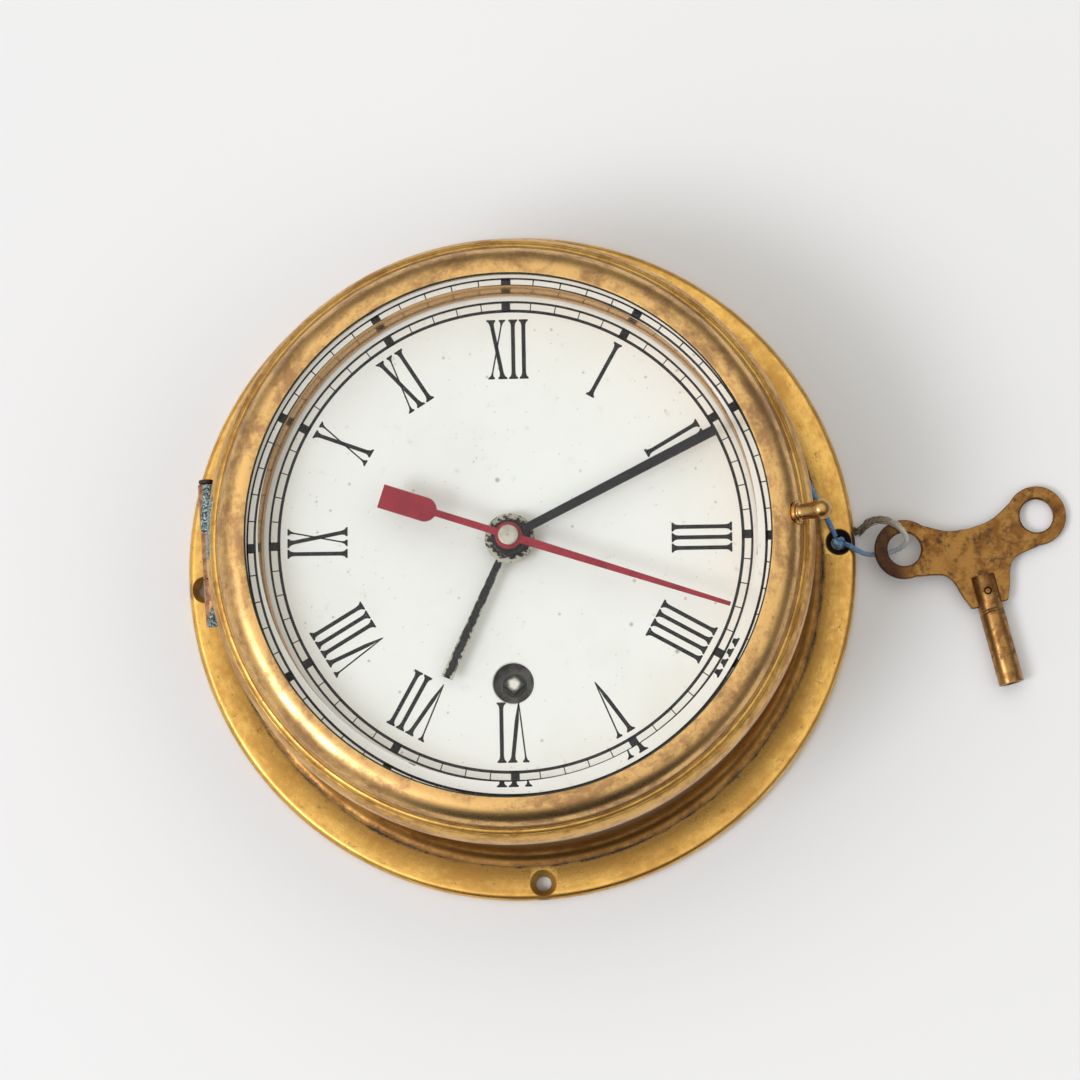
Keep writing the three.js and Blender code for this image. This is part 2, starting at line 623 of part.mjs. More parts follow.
// A cheese head screw whose head rests at the height seat, pointing down, or up when turned over.
function screw(seat, upward) {
  const tip = upward ? seat + SCREW_DEPTH : seat - SCREW_DEPTH;
  const headEnd = upward ? seat - SCREW_HEAD_HEIGHT : seat + SCREW_HEAD_HEIGHT;
  const shank = [PLATE_SCREW_RADIUS, Math.min(seat, tip), Math.max(seat, tip)];
  const head = [SCREW_HEAD_RADIUS, Math.min(seat, headEnd), Math.max(seat, headEnd)];
  return shaft(upward ? [head, shank] : [shank, head], SMALL_SIDES);
}

// The knob's own axis is Z; this lays it where the knob stands on the bezel.
function onKnobSeat(geometry) {
  return geometry.rotateY(KNOB_TILT).translate(KNOB_SEAT[0], 0, KNOB_SEAT[1]);
}

// One turned section: lip, ovolo, flat band, groove, bead and the rabbet that enters the drum.
function bezelRing() {
  const beadCentre = [GROOVE_FLOOR[0], BEAD_EDGE[1]];
  const outline = [
    [LIP_RADIUS, LIP_HEIGHT],
    ...quarterArc(OVOLO_CENTRE, OVOLO_REACH, OVOLO_DROP, ARC_STEPS).reverse(),
    BAND_EDGE,
    ...quarterArc(beadCentre, BEAD_WIDTH, BEAD_DROP, ARC_STEPS).reverse(),
    [BEAD_EDGE[0], BEZEL_BOTTOM + SKIRT_CHAMFER],
    [BEAD_EDGE[0] - SKIRT_CHAMFER, BEZEL_BOTTOM],
    [RABBET_OUTER, BEZEL_BOTTOM],
    [RABBET_OUTER, BEZEL_BOTTOM - RABBET_DEPTH],
    [RABBET_INNER, BEZEL_BOTTOM - RABBET_DEPTH],
    [RABBET_INNER, BEZEL_BOTTOM],
    [BEZEL_BORE, BEZEL_BOTTOM],
    [BEZEL_BORE, GLASS_TOP - bevelFall(BEZEL_BORE) + SEAT_GAP],
    [LIP_RADIUS, LIP_HEIGHT - LIP_THICKNESS],
  ];
  const leafRecess = block(
    -BEAD_EDGE[0] - CUT_PAST,
    BEZEL_LEAF_END + SEAT_GAP,
    HINGE_LOW - SWING_GAP,
    HINGE_HIGH + SWING_GAP,
    BEZEL_BOTTOM - RABBET_DEPTH - CUT_PAST,
    BEZEL_LEAF_TOP + SEAT_GAP,
  );
  const collarRecess = disc(KNOB_COLLAR_RADIUS + SEAT_GAP, 0, KNOB_LENGTH);
  const pegHole = disc(KNOB_PEG_RADIUS + SEAT_GAP, -KNOB_PEG_LENGTH - SEAT_GAP, CUT_PAST, SMALL_SIDES);
  return cut(turned(outline, CASE_SIDES), leafRecess, onKnobSeat(collarRecess), onKnobSeat(pegHole));
}

function bezelGlass() {
  const outline = [
    [0, GLASS_BOTTOM],
    [GLASS_RADIUS, GLASS_BOTTOM],
    [GLASS_RADIUS, GLASS_BOTTOM + GLASS_EDGE],
    [GLASS_FLAT_RADIUS, GLASS_TOP],
    [0, GLASS_TOP],
  ];
  return turned(outline, CASE_SIDES);
}

function glassRetainingRing() {
  const outline = [
    [RETAINER_INNER - RETAINER_FOOT, BEZEL_BOTTOM + SEAT_GAP],
    [GLASS_RADIUS, BEZEL_BOTTOM + SEAT_GAP],
    [GLASS_RADIUS, GLASS_BOTTOM],
    [RETAINER_INNER + RETAINER_FLARE, GLASS_BOTTOM],
  ];
  return turned(outline, CASE_SIDES);
}

// Two end knuckles on a leaf that is bent to the drum's wall.
function hingeCaseLeaf() {
  const inner = DRUM_RADIUS + SEAT_GAP;
  const top = HINGE_HEIGHT - HINGE_PIN_RADIUS;
  const bent = ring(inner, inner + CASE_LEAF_THICKNESS, top - CASE_LEAF_DEPTH, top, CASE_SIDES);
  const width = block(-2 * DRUM_RADIUS, 0, HINGE_LOW, HINGE_HIGH, 0, DRUM_HEIGHT);
  const barrel = crossRod(KNUCKLE_RADIUS, HINGE_LOW, HINGE_HIGH, SHAFT_SIDES);
  const holeRadius = HINGE_PIN_RADIUS + RUNNING_GAP;
  const pinHole = crossRod(holeRadius, HINGE_LOW - CUT_PAST, HINGE_HIGH + CUT_PAST, SMALL_SIDES);
  const middle = MIDDLE_KNUCKLE / 2 + SWING_GAP;
  const gap = crossRod(KNUCKLE_CLEAR, HINGE_OFFSET - middle, HINGE_OFFSET + middle, SHAFT_SIDES);
  const onAxis = (geometry) => geometry.translate(-HINGE_REACH, 0, HINGE_HEIGHT);
  return cut(join(common(bent, width), onAxis(barrel)), onAxis(gap), onAxis(pinHole));
}

// The middle knuckle on a flat leaf that lies in the bezel's back.
function hingeBezelLeaf() {
  const half = MIDDLE_KNUCKLE / 2;
  const low = HINGE_OFFSET - half;
  const high = HINGE_OFFSET + half;
  const knuckle = crossRod(KNUCKLE_RADIUS, low, high, SHAFT_SIDES);
  const pinHole = crossRod(HINGE_PIN_RADIUS + RUNNING_GAP, low - CUT_PAST, high + CUT_PAST, SMALL_SIDES);
  const tongue = block(-HINGE_REACH, BEZEL_LEAF_END, low, high, BEZEL_LEAF_BOTTOM, BEZEL_LEAF_TOP);
  const wideFrom = KNUCKLE_CLEAR - HINGE_REACH;
  const wide = block(wideFrom, BEZEL_LEAF_END, HINGE_LOW, HINGE_HIGH, BEZEL_LEAF_BOTTOM, BEZEL_LEAF_TOP);
  const onAxis = (geometry) => geometry.translate(-HINGE_REACH, 0, HINGE_HEIGHT);
  return cut(join(onAxis(knuckle), tongue, wide), onAxis(pinHole));
}

function hingePin() {
  const pin = crossRod(HINGE_PIN_RADIUS, HINGE_LOW, HINGE_HIGH + SEAT_GAP, SMALL_SIDES);
  const headFrom = HINGE_HIGH + SEAT_GAP;
  const head = crossRod(PIN_HEAD_RADIUS, headFrom, headFrom + PIN_HEAD_HEIGHT, SMALL_SIDES);
  return join(pin, head).translate(-HINGE_REACH, 0, HINGE_HEIGHT);
}

function bezelKnob() {
  const domeFrom = KNOB_LENGTH - KNOB_DOME_RADIUS;
  const outline = [
    [0, -KNOB_PEG_LENGTH],
    [KNOB_PEG_RADIUS, -KNOB_PEG_LENGTH],
    [KNOB_PEG_RADIUS, SEAT_GAP],
    [KNOB_COLLAR_RADIUS, SEAT_GAP],
    [KNOB_COLLAR_RADIUS, KNOB_COLLAR_HEIGHT],
    [KNOB_STEM_RADIUS, KNOB_COLLAR_HEIGHT],
    [KNOB_DOME_RADIUS, domeFrom],
    ...quarterArc([0, domeFrom], KNOB_DOME_RADIUS, KNOB_DOME_RADIUS, EDGE_STEPS).slice(1),
  ];
  return onKnobSeat(turned(outline, SHAFT_SIDES));
}

// A spring strip inside the drum that presses on the bezel's rabbet.
function bezelCatch() {
  const half = CATCH_WIDTH / 2;
  const outer = Math.sqrt(DRUM_INNER ** 2 - half ** 2) - SEAT_GAP;
  const top = DRUM_HEIGHT - SWING_GAP;
  return block(RABBET_OUTER + SEAT_GAP, outer, -half, half, top - CATCH_HEIGHT, top);
}

function dial() {
  const plate = disc(DIAL_RADIUS, DIAL_BACK, DIAL_FACE, CASE_SIDES);
  return cut(plate, drill(DIAL_CENTRE_HOLE), at(drill(WINDING_HOLE_RADIUS), WINDING_PLACE));
}

function frontPlate() {
  const plate = disc(PLATE_RADIUS, FRONT_BOTTOM, FRONT_TOP, PLATE_SIDES);
  const pivot = drill(ARBOR_RADIUS + RUNNING_GAP);
  const holes = [
    at(drill(WINDING_ARBOR_RADIUS + RUNNING_GAP), WINDING_PLACE),
    at(pivot, INTERMEDIATE_PLACE),
    at(pivot, THIRD_PLACE),
    at(drill(MOTION_POST_SHANK + SEAT_GAP), MOTION_PLACE),
    at(drill(SCREW_HOLE), CLICK_PLACE),
    drill(CENTRE_TUBE + RUNNING_GAP),
    ...PILLAR_PLACES.map((place) => at(drill(SCREW_HOLE), place)),
  ];
  return cut(plate, ...holes);
}

function rearPlate() {
  const plate = disc(PLATE_RADIUS, REAR_BOTTOM, REAR_TOP, PLATE_SIDES);
  const pivot = drill(ARBOR_RADIUS + RUNNING_GAP);
  const finePivot = drill(FINE_ARBOR_RADIUS + RUNNING_GAP);
  const holes = [
    at(drill(WINDING_ARBOR_RADIUS + RUNNING_GAP), WINDING_PLACE),
    at(pivot, INTERMEDIATE_PLACE),
    at(pivot, THIRD_PLACE),
    drill(SECONDS_ARBOR_RADIUS + RUNNING_GAP),
    at(finePivot, ESCAPE_PLACE),
    at(finePivot, PALLET_PLACE),
    at(finePivot, BALANCE_PLACE),
  ];
  return cut(plate, ...holes);
}

function pillar() {
  const bore = disc(SCREW_HOLE, FRONT_TOP - SCREW_DEPTH - SEAT_GAP, FRONT_TOP, SMALL_SIDES);
  return cut(disc(PILLAR_RADIUS, REAR_TOP, FRONT_BOTTOM), bore);
}

function movementPost() {
  const screwTip = SEAT_GAP + SCREW_HEAD_HEIGHT + SCREW_DEPTH;
  const bore = disc(SCREW_HOLE, 0, screwTip + SEAT_GAP, SMALL_SIDES);
  return cut(disc(POST_RADIUS, BACK_THICKNESS, REAR_BOTTOM), bore);
}

// Phases of the gears at rest, carried from each gear to the one it meets
const thirdWheelPhase = 0;
const thirdPinionPhase = meshPhase(0, CENTRE_WHEEL.teeth, THIRD_PINION.teeth, THIRD_BEARING);
const fourthPinionPhase = meshPhase(
  thirdWheelPhase,
  THIRD_WHEEL.teeth,
  FOURTH_PINION.teeth,
  THIRD_BEARING + Math.PI,
);
const escapePinionPhase = meshPhase(0, FOURTH_WHEEL.teeth, ESCAPE_PINION.teeth, ESCAPE_BEARING);
const centrePinionPhase = meshPhase(
  0,
  INTERMEDIATE_WHEEL.teeth,
  CENTRE_PINION.teeth,
  INTERMEDIATE_BEARING + Math.PI,
);
const greatBearing = Math.atan2(INTERMEDIATE_PLACE[1] + WINDING_DROP, INTERMEDIATE_PLACE[0]);
const intermediatePinionPhase = meshPhase(0, GREAT_WHEEL.teeth, INTERMEDIATE_PINION.teeth, greatBearing);
const minuteWheelPhase = meshPhase(0, CANNON_TEETH, MINUTE_WHEEL_TEETH, MOTION_BEARING);
const hourWheelPhase = meshPhase(0, MINUTE_PINION_TEETH, HOUR_WHEEL_TEETH, MOTION_BEARING + Math.PI);

function wheelAt({ teeth, level, thickness = WHEEL_THICKNESS }, module, phase) {
  const from = REAR_TOP + level;
  return wheel(teeth, module, phase, from, from + thickness);
}

// A pinion at the height of the wheel that it meets, a little longer at both ends.
function pinionAt({ teeth }, { level, thickness = WHEEL_THICKNESS }, module, phase) {
  const from = REAR_TOP + level - PINION_OVERHANG;
  return pinion(teeth, module, phase, from, from + thickness + 2 * PINION_OVERHANG);
}

// Great wheel with the drum that holds the mainspring.
function mainspringBarrel() {
  const coverTop = REAR_TOP + BARREL_COVER_LEVEL + BARREL_COVER_THICKNESS;
  const wallTop = REAR_TOP + GREAT_WHEEL.level + GREAT_WHEEL.thickness / 2;
  const wall = ring(BARREL_RADIUS - BARREL_WALL, BARREL_RADIUS, coverTop + SEAT_GAP, wallTop, PLATE_SIDES);
  const whole = join(wheelAt(GREAT_WHEEL, GREAT_MODULE, 0), wall);
  return cut(whole, drill(WINDING_ARBOR_RADIUS + RUNNING_GAP));
}

function barrelCover() {
  const from = REAR_TOP + BARREL_COVER_LEVEL;
  const inner = WINDING_ARBOR_RADIUS + RUNNING_GAP;
  return ring(inner, BARREL_RADIUS, from, from + BARREL_COVER_THICKNESS, PLATE_SIDES);
}

const SPRING_BOTTOM = REAR_TOP + BARREL_COVER_LEVEL + BARREL_COVER_THICKNESS + SEAT_GAP;
const SPRING_TOP = REAR_TOP + GREAT_WHEEL.level - SEAT_GAP;

function mainspring() {
  const inner = ARBOR_HUB_RADIUS + SWING_GAP + SPRING_STRIP / 2;
  const outer = BARREL_RADIUS - BARREL_WALL - SEAT_GAP - SPRING_STRIP / 2;
  return spiral(inner, outer, SPRING_TURNS, SPRING_STRIP, SPRING_STEPS, SPRING_BOTTOM, SPRING_TOP);
}

const RATCHET_BOTTOM = FRONT_TOP + SEAT_GAP;
const RATCHET_TOP = RATCHET_BOTTOM + RATCHET_THICKNESS;

function windingArbor() {
  const body = shaft([
    [WINDING_ARBOR_RADIUS, PIVOT_BOTTOM, SPRING_BOTTOM + SWING_GAP],
    [ARBOR_HUB_RADIUS, SPRING_BOTTOM + SWING_GAP, SPRING_TOP - SWING_GAP],
    [WINDING_ARBOR_RADIUS, SPRING_TOP - SWING_GAP, RATCHET_TOP],
  ]);
  const half = WINDING_SQUARE / 2;
  const squareTop = DIAL_FACE - WINDING_SQUARE_RECESS;
  const square = block(-half, half, -half, half, FRONT_TOP, squareTop).rotateZ(Math.PI / 4);
  return join(body, square);
}

function ratchetWheel() {
  const pitch = (2 * Math.PI) / RATCHET_TEETH;
  const teeth = Array.from({ length: RATCHET_TEETH }, (_, i) => [
    polar(RATCHET_RADIUS, i * pitch),
    polar(RATCHET_RADIUS - RATCHET_TOOTH, i * pitch),
  ]).flat();
  const bore = circlePoints(WINDING_ARBOR_RADIUS + RUNNING_GAP, SHAFT_SIDES);
  return extruded(teeth, RATCHET_BOTTOM, RATCHET_TOP, [bore]);
}

// A hub with a beak that ends just clear of the ratchet's teeth.
function click() {
  const beakTip = along([0, 0], RATCHET_RADIUS + SWING_GAP, CLICK_BEARING + CLICK_LEAD);
  const toPivot = polar(CLICK_REACH, CLICK_BEARING);
  const [tipX, tipY] = [beakTip[0] - toPivot[0], beakTip[1] - toPivot[1]];
  const side = CLICK_HUB_RADIUS - SEAT_GAP;
  const beak = [
    [0, -side],
    [0, side],
    [tipX, tipY + CLICK_BEAK],
    [tipX, tipY],
  ];
  const body = join(
    disc(CLICK_HUB_RADIUS, RATCHET_BOTTOM, RATCHET_TOP),
    extruded(beak, RATCHET_BOTTOM, RATCHET_TOP),
  );
  return cut(body, drill(CLICK_SHOULDER_RADIUS + RUNNING_GAP));
}

// Its shoulder stands on the plate, so the click turns freely under the head.
function clickScrew() {
  const headFrom = RATCHET_TOP + SEAT_GAP;
  return shaft([
    [PLATE_SCREW_RADIUS, FRONT_BOTTOM + SEAT_GAP, FRONT_TOP],
    [CLICK_SHOULDER_RADIUS, FRONT_TOP, headFrom],
    [CLICK_HUB_RADIUS, headFrom, headFrom + SCREW_HEAD_HEIGHT],
  ]);
}

function clickSpring() {
  const [x, y] = CLICK_PLACE;
  const near = y + CLICK_HUB_RADIUS + CLICK_LIFT;
  const end = x + CLICK_HUB_RADIUS;
  return block(end - CLICK_SPRING_LENGTH, end, near, near + CLICK_SPRING_STRIP, FRONT_TOP, RATCHET_TOP);
}

function arborWith(...gears) {
  return join(shaft([[ARBOR_RADIUS, PIVOT_BOTTOM, PIVOT_TOP]], SMALL_SIDES), ...gears);
}

function intermediateWheel() {
  return arborWith(
    wheelAt(INTERMEDIATE_WHEEL, INTERMEDIATE_WHEEL.module, 0),
    pinionAt(INTERMEDIATE_PINION, GREAT_WHEEL, GREAT_MODULE, intermediatePinionPhase),
  );
}

// Hollow, so that the seconds arbor runs through it.
function centreWheel() {
  const tubeBottom = REAR_TOP + THIRD_WHEEL.level + WHEEL_THICKNESS + PINION_OVERHANG + SWING_GAP;
  const tubeTop = HOUR_HAND_BOTTOM - SWING_GAP;
  const whole = join(
    disc(CENTRE_TUBE, tubeBottom, tubeTop),
    wheelAt(CENTRE_WHEEL, CENTRE_WHEEL.module, 0),
    pinionAt(CENTRE_PINION, INTERMEDIATE_WHEEL, INTERMEDIATE_WHEEL.module, centrePinionPhase),
  );
  return cut(whole, drill(CENTRE_BORE));
}

function thirdWheel() {
  return arborWith(
    wheelAt(THIRD_WHEEL, THIRD_MODULE, thirdWheelPhase),
    pinionAt(THIRD_PINION, CENTRE_WHEEL, CENTRE_WHEEL.module, thirdPinionPhase),
  );
}

function secondsArbor() {
  return join(
    disc(SECONDS_ARBOR_RADIUS, PIVOT_BOTTOM, SECONDS_HAND_TOP, SMALL_SIDES),
    wheelAt(FOURTH_WHEEL, FOURTH_WHEEL.module, 0),
    pinionAt(FOURTH_PINION, THIRD_WHEEL, THIRD_MODULE, fourthPinionPhase),
  );
}

const ESCAPE_BOTTOM = REAR_TOP + ESCAPE_LEVEL;
const ESCAPE_TOP = ESCAPE_BOTTOM + ESCAPE_THICKNESS;
const COCK_LOWER = REAR_TOP + COCK_LOWER_LEVEL;
const COCK_UPPER = REAR_TOP + COCK_UPPER_LEVEL;

function escapeWheel() {
  const pitch = (2 * Math.PI) / ESCAPE_TEETH;
  const root = ESCAPE_RADIUS - ESCAPE_TOOTH;
  const teeth = Array.from({ length: ESCAPE_TEETH }, (_, i) => [
    polar(ESCAPE_RADIUS, i * pitch),
    polar(root, (i + ESCAPE_UNDERCUT) * pitch),
    polar(root, (i + 1 - ESCAPE_UNDERCUT) * pitch),
  ]).flat();
  return join(
    disc(FINE_ARBOR_RADIUS, PIVOT_BOTTOM, COCK_LOWER + COCK_ARM_THICKNESS, SMALL_SIDES),
    extruded(teeth, ESCAPE_BOTTOM, ESCAPE_TOP),
    pinionAt(ESCAPE_PINION, FOURTH_WHEEL, FOURTH_WHEEL.module, escapePinionPhase),
  );
}

// Local X runs from the escape wheel to the balance:
// two stones beside the escape wheel and a bar to the balance.
function palletLever() {
  const half = PALLET_STONE / 2;
  const stoneReach = ESCAPE_RADIUS + 2 * SWING_GAP + half;
  const sides = [1, -1].map((side) => {
    const [x, y] = along([-PALLET_REACH, 0], stoneReach, side * PALLET_SPREAD);
    const stone = block(-half, half, -half, half, ESCAPE_BOTTOM, ESCAPE_TOP).rotateZ(side * PALLET_SPREAD);
    const arm = block(0, Math.hypot(x, y), -half / 2, half / 2, ESCAPE_BOTTOM, ESCAPE_TOP);
    return join(stone.translate(x, y, 0), arm.rotateZ(Math.atan2(y, x)));
  });
  const barEnd = BALANCE_REACH - ROLLER_RADIUS - SWING_GAP;
  const bar = block(0, barEnd, -half, half, ESCAPE_BOTTOM, ESCAPE_TOP);
  const arbor = disc(FINE_ARBOR_RADIUS, PIVOT_BOTTOM, COCK_LOWER + COCK_ARM_THICKNESS, SMALL_SIDES);
  const hub = disc(2 * FINE_ARBOR_RADIUS, ESCAPE_BOTTOM, ESCAPE_TOP, SMALL_SIDES);
  return join(arbor, hub, bar, ...sides).rotateZ(ESCAPE_BEARING);
}

function balanceWheel() {
  const from = REAR_TOP + BALANCE_LEVEL;
  const to = from + BALANCE_THICKNESS;
  const inner = BALANCE_RADIUS - BALANCE_RIM;
  const half = BALANCE_RIM / 2;
  return join(
    ring(inner, BALANCE_RADIUS, from, to, PLATE_SIDES),
    block(-inner - half, inner + half, -half, half, from, to),
    disc(FINE_ARBOR_RADIUS, PIVOT_BOTTOM, COCK_UPPER + COCK_ARM_THICKNESS, SMALL_SIDES),
    disc(ROLLER_RADIUS, ESCAPE_BOTTOM, ESCAPE_TOP, SMALL_SIDES),
  );
}

const HAIRSPRING_BOTTOM = REAR_TOP + BALANCE_LEVEL + BALANCE_THICKNESS + SWING_GAP;
const HAIRSPRING_TOP = HAIRSPRING_BOTTOM + HAIRSPRING_HEIGHT;

function hairspring() {
  const inner = FINE_ARBOR_RADIUS + SWING_GAP + HAIRSPRING_STRIP;
  const outer = HAIRSPRING_RADIUS;
  const coil = spiral(
    inner,
    outer,
    HAIRSPRING_TURNS,
    HAIRSPRING_STRIP,
    HAIRSPRING_STEPS,
    HAIRSPRING_BOTTOM,
    HAIRSPRING_TOP,
  );
  return coil.rotateZ(ESCAPE_BEARING);
}

// A post on the rear plate with a low arm over the escape and pallet arbors
// and a high one over the balance.
function balanceCock() {
  const half = COCK_ARM_WIDTH / 2;
  const postReach = BALANCE_REACHED + COCK_POST_REACH;
  const arm = (reach, level) =>
    block(reach - half, postReach, -half, half, level, level + COCK_ARM_THICKNESS);
  const post = disc(COCK_POST_RADIUS, REAR_TOP, COCK_UPPER + COCK_ARM_THICKNESS);
  const stud = disc(HAIRSPRING_STRIP, HAIRSPRING_TOP + SEAT_GAP, COCK_UPPER + SEAT_GAP, SMALL_SIDES);
  const whole = join(
    arm(ESCAPE_REACH, COCK_LOWER),
    arm(BALANCE_REACHED, COCK_UPPER),
    at(post, [postReach, 0]),
    at(stud, [BALANCE_REACHED + HAIRSPRING_RADIUS, 0]),
  );
  const pivot = drill(FINE_ARBOR_RADIUS + RUNNING_GAP);
  const holes = [
    at(pivot, [ESCAPE_REACH, 0]),
    at(pivot, [ESCAPE_REACH + PALLET_REACH, 0]),
    at(pivot, [BALANCE_REACHED, 0]),
  ];
  return cut(whole, ...holes).rotateZ(ESCAPE_BEARING);
}

const MINUTE_WHEEL_BOTTOM = FRONT_TOP + MINUTE_WHEEL_LEVEL;
const MINUTE_WHEEL_TOP = MINUTE_WHEEL_BOTTOM + MOTION_THICKNESS;
const HOUR_WHEEL_BOTTOM = FRONT_TOP + HOUR_WHEEL_LEVEL;
const HOUR_WHEEL_TOP = HOUR_WHEEL_BOTTOM + MOTION_THICKNESS;

function cannonPinion() {
  const leavesTop = MINUTE_WHEEL_TOP + SEAT_GAP;
  const leaves = pinion(CANNON_TEETH, MOTION_MODULE, 0, MINUTE_WHEEL_BOTTOM - SEAT_GAP, leavesTop);
  const tube = shaft([
    [CANNON_TUBE, leavesTop - SEAT_GAP / 2, MINUTE_HAND_BOTTOM],
    [CANNON_TUBE - PIPE_SHOULDER, MINUTE_HAND_BOTTOM, MINUTE_HAND_BOTTOM + HAND_THICKNESS],
  ]);
  return cut(join(leaves, tube), drill(CANNON_BORE));
}

function minuteWheel() {
  const whole = join(
    wheel(MINUTE_WHEEL_TEETH, MOTION_MODULE, minuteWheelPhase, MINUTE_WHEEL_BOTTOM, MINUTE_WHEEL_TOP),
    pinion(MINUTE_PINION_TEETH, MOTION_MODULE, 0, MINUTE_WHEEL_BOTTOM, HOUR_WHEEL_TOP + SEAT_GAP),
  );
  return cut(whole, drill(MOTION_POST_RADIUS + RUNNING_GAP));
}

function minuteWheelPost() {
  return shaft(
    [
      [MOTION_POST_SHANK, FRONT_BOTTOM + SEAT_GAP, FRONT_TOP],
      [MOTION_POST_RADIUS, FRONT_TOP, HOUR_WHEEL_TOP + 2 * SEAT_GAP],
    ],
    SMALL_SIDES,
  );
}

function hourWheel() {
  const pipe = shaft([
    [HOUR_PIPE, HOUR_WHEEL_BOTTOM, HOUR_HAND_BOTTOM],
    [HOUR_PIPE - PIPE_SHOULDER, HOUR_HAND_BOTTOM, HOUR_HAND_BOTTOM + HAND_THICKNESS],
  ]);
  const toothed = wheel(HOUR_WHEEL_TEETH, MOTION_MODULE, hourWheelPhase, HOUR_WHEEL_BOTTOM, HOUR_WHEEL_TOP);
  return cut(join(toothed, pipe), drill(HOUR_BORE));
}

// A straight hand that points along +Y before it is set to its angle.
function straightHand({ height, width, tip, hub }, length, bore) {
  const from = DIAL_FACE + height;
  const to = from + HAND_THICKNESS;
  const blade = extruded(bladeOutline(width, tip, length), from, to);
  return cut(join(disc(hub, from, to, HUB_SIDES), blade), drill(bore));
}

function bladeOutline(width, tip, length) {
  return [
    [-width / 2, 0],
    [width / 2, 0],
    [tip / 2, length],
    [-tip / 2, length],
  ];
}

function secondsHand() {
  const from = SECONDS_HAND_BOTTOM;
  const to = SECONDS_HAND_TOP;
  const { start, end, width, stem } = SECONDS_TAIL;
  const shoulder = quarterArc([0, -start - width / 2], width / 2, width / 2, EDGE_STEPS);
  const paddle = [
    [width / 2, -end],
    ...shoulder,
    ...shoulder.map(([x, y]) => [-x, y]).reverse().slice(1),
    [-width / 2, -end],
  ];
  const blade = bladeOutline(SECONDS_HAND.width, SECONDS_HAND.tip, RETAINER_INNER - SECONDS_HAND.tipGap);
  const whole = join(
    disc(SECONDS_HAND.hub, from, to, HUB_SIDES),
    extruded(blade, from, to),
    block(-stem / 2, stem / 2, -start - width / 2, 0, from, to),
    extruded(paddle, from, to),
  );
  return cut(whole, drill(BOSS_STEM_RADIUS + RUNNING_GAP));
}

// The collet that the seconds hand is riveted to, with its domed cap.
function secondsBoss() {
  const body = shaft([
    [BOSS_COLLAR_RADIUS, MINUTE_HAND_BOTTOM + HAND_THICKNESS + SWING_GAP, SECONDS_HAND_BOTTOM],
    [BOSS_STEM_RADIUS, SECONDS_HAND_BOTTOM, SECONDS_HAND_TOP],
    [BOSS_RADIUS, SECONDS_HAND_TOP, SECONDS_HAND_TOP + BOSS_HEIGHT],
  ]);
  return cut(body, disc(SECONDS_ARBOR_RADIUS + RUNNING_GAP, 0, SECONDS_HAND_TOP + SEAT_GAP, SMALL_SIDES));
}

// Right half of the bow from the top of its waist round the ring to the end of the prong.
function bowHalf() {
  const ringCentre = [KEY_RING_PLACE, 0];
  const ringArc = Array.from({ length: BOW_STEPS + 1 }, (_, i) => {
    const angle = BOW_ARC_FROM + ((BOW_ARC_TO - BOW_ARC_FROM) * i) / BOW_STEPS;
    return along(ringCentre, KEY_RING_RADIUS, degToRad(angle));
  });
  const curve = (points) => {
    const spline = new THREE.SplineCurve(pathOf(points));
    return spline.getPoints(BOW_STEPS).map(({ x, y }) => [x, y]);
  };
  const waist = curve([...KEY_WAIST, ringArc[0]]);
  const flank = curve([
    ringArc.at(-1),
    KEY_SHOULDER,
    [KEY_PRONG_HALF + KEY_PRONG_SWELL, KEY_PIN_PLACE],
    [KEY_PRONG_HALF, KEY_PRONG_END],
  ]);
  return [...waist.slice(0, -1), ...ringArc, ...flank.slice(1)];
}

function keyBow() {
  const right = bowHalf();
  const left = right
    .slice(1)
    .map(([x, y]) => [-x, y])
    .reverse();
  const half = KEY_PLATE / 2;
  const holes = [
    circlePoints(KEY_RING_HOLE, RING_SIDES, [KEY_RING_PLACE, 0]),
    circlePoints(KEY_RING_HOLE, RING_SIDES, [-KEY_RING_PLACE, 0]),
    circlePoints(KEY_PIN_RADIUS + SEAT_GAP, SMALL_SIDES, [0, KEY_PIN_PLACE]),
  ];
  return extruded([...right, ...left], -half, half, holes);
}

function keyBarrel() {
  const end = KEY_BARREL_TOP - KEY_BARREL_LENGTH;
  const tube = crossRod(KEY_BARREL_RADIUS, end, KEY_BARREL_TOP, SHAFT_SIDES);
  const slotHalf = KEY_PLATE / 2 + SEAT_GAP;
  const slotSide = 2 * KEY_BARREL_RADIUS;
  const slot = block(-slotSide, slotSide, KEY_PRONG_END - SEAT_GAP, 0, -slotHalf, slotHalf);
  const half = (WINDING_SQUARE + KEY_SOCKET_GAP) / 2;
  const socket = block(-half, half, end - CUT_PAST, end + KEY_SOCKET_DEPTH, -half, half);
  const pinHole = at(drill(KEY_PIN_RADIUS + SEAT_GAP), [0, KEY_PIN_PLACE]);
  return cut(tube, slot, socket.rotateY(Math.PI / 4), pinHole);
}

function keyPin() {
  return at(disc(KEY_PIN_RADIUS, -KEY_BARREL_RADIUS, KEY_BARREL_RADIUS, SMALL_SIDES), [0, KEY_PIN_PLACE]);
}

// A round string along a route of chosen points.
function string(route) {
  const path = new THREE.CatmullRomCurve3(route.map(([x, y, z]) => new THREE.Vector3(x, y, z)));
  const section = new THREE.Shape(pathOf(circlePoints(STRING_RADIUS, STRING_SIDES)));
  const steps = Math.round(path.getLength() / (STRING_STEP * STRING_RADIUS));
  return new THREE.ExtrudeGeometry(section, { steps, bevelEnabled: false, extrudePath: path });
}

const clock = new THREE.Group();
const turnedCase = new THREE.Group();
turnedCase.rotation.z = CASE_TURN;
clock.add(turnedCase);

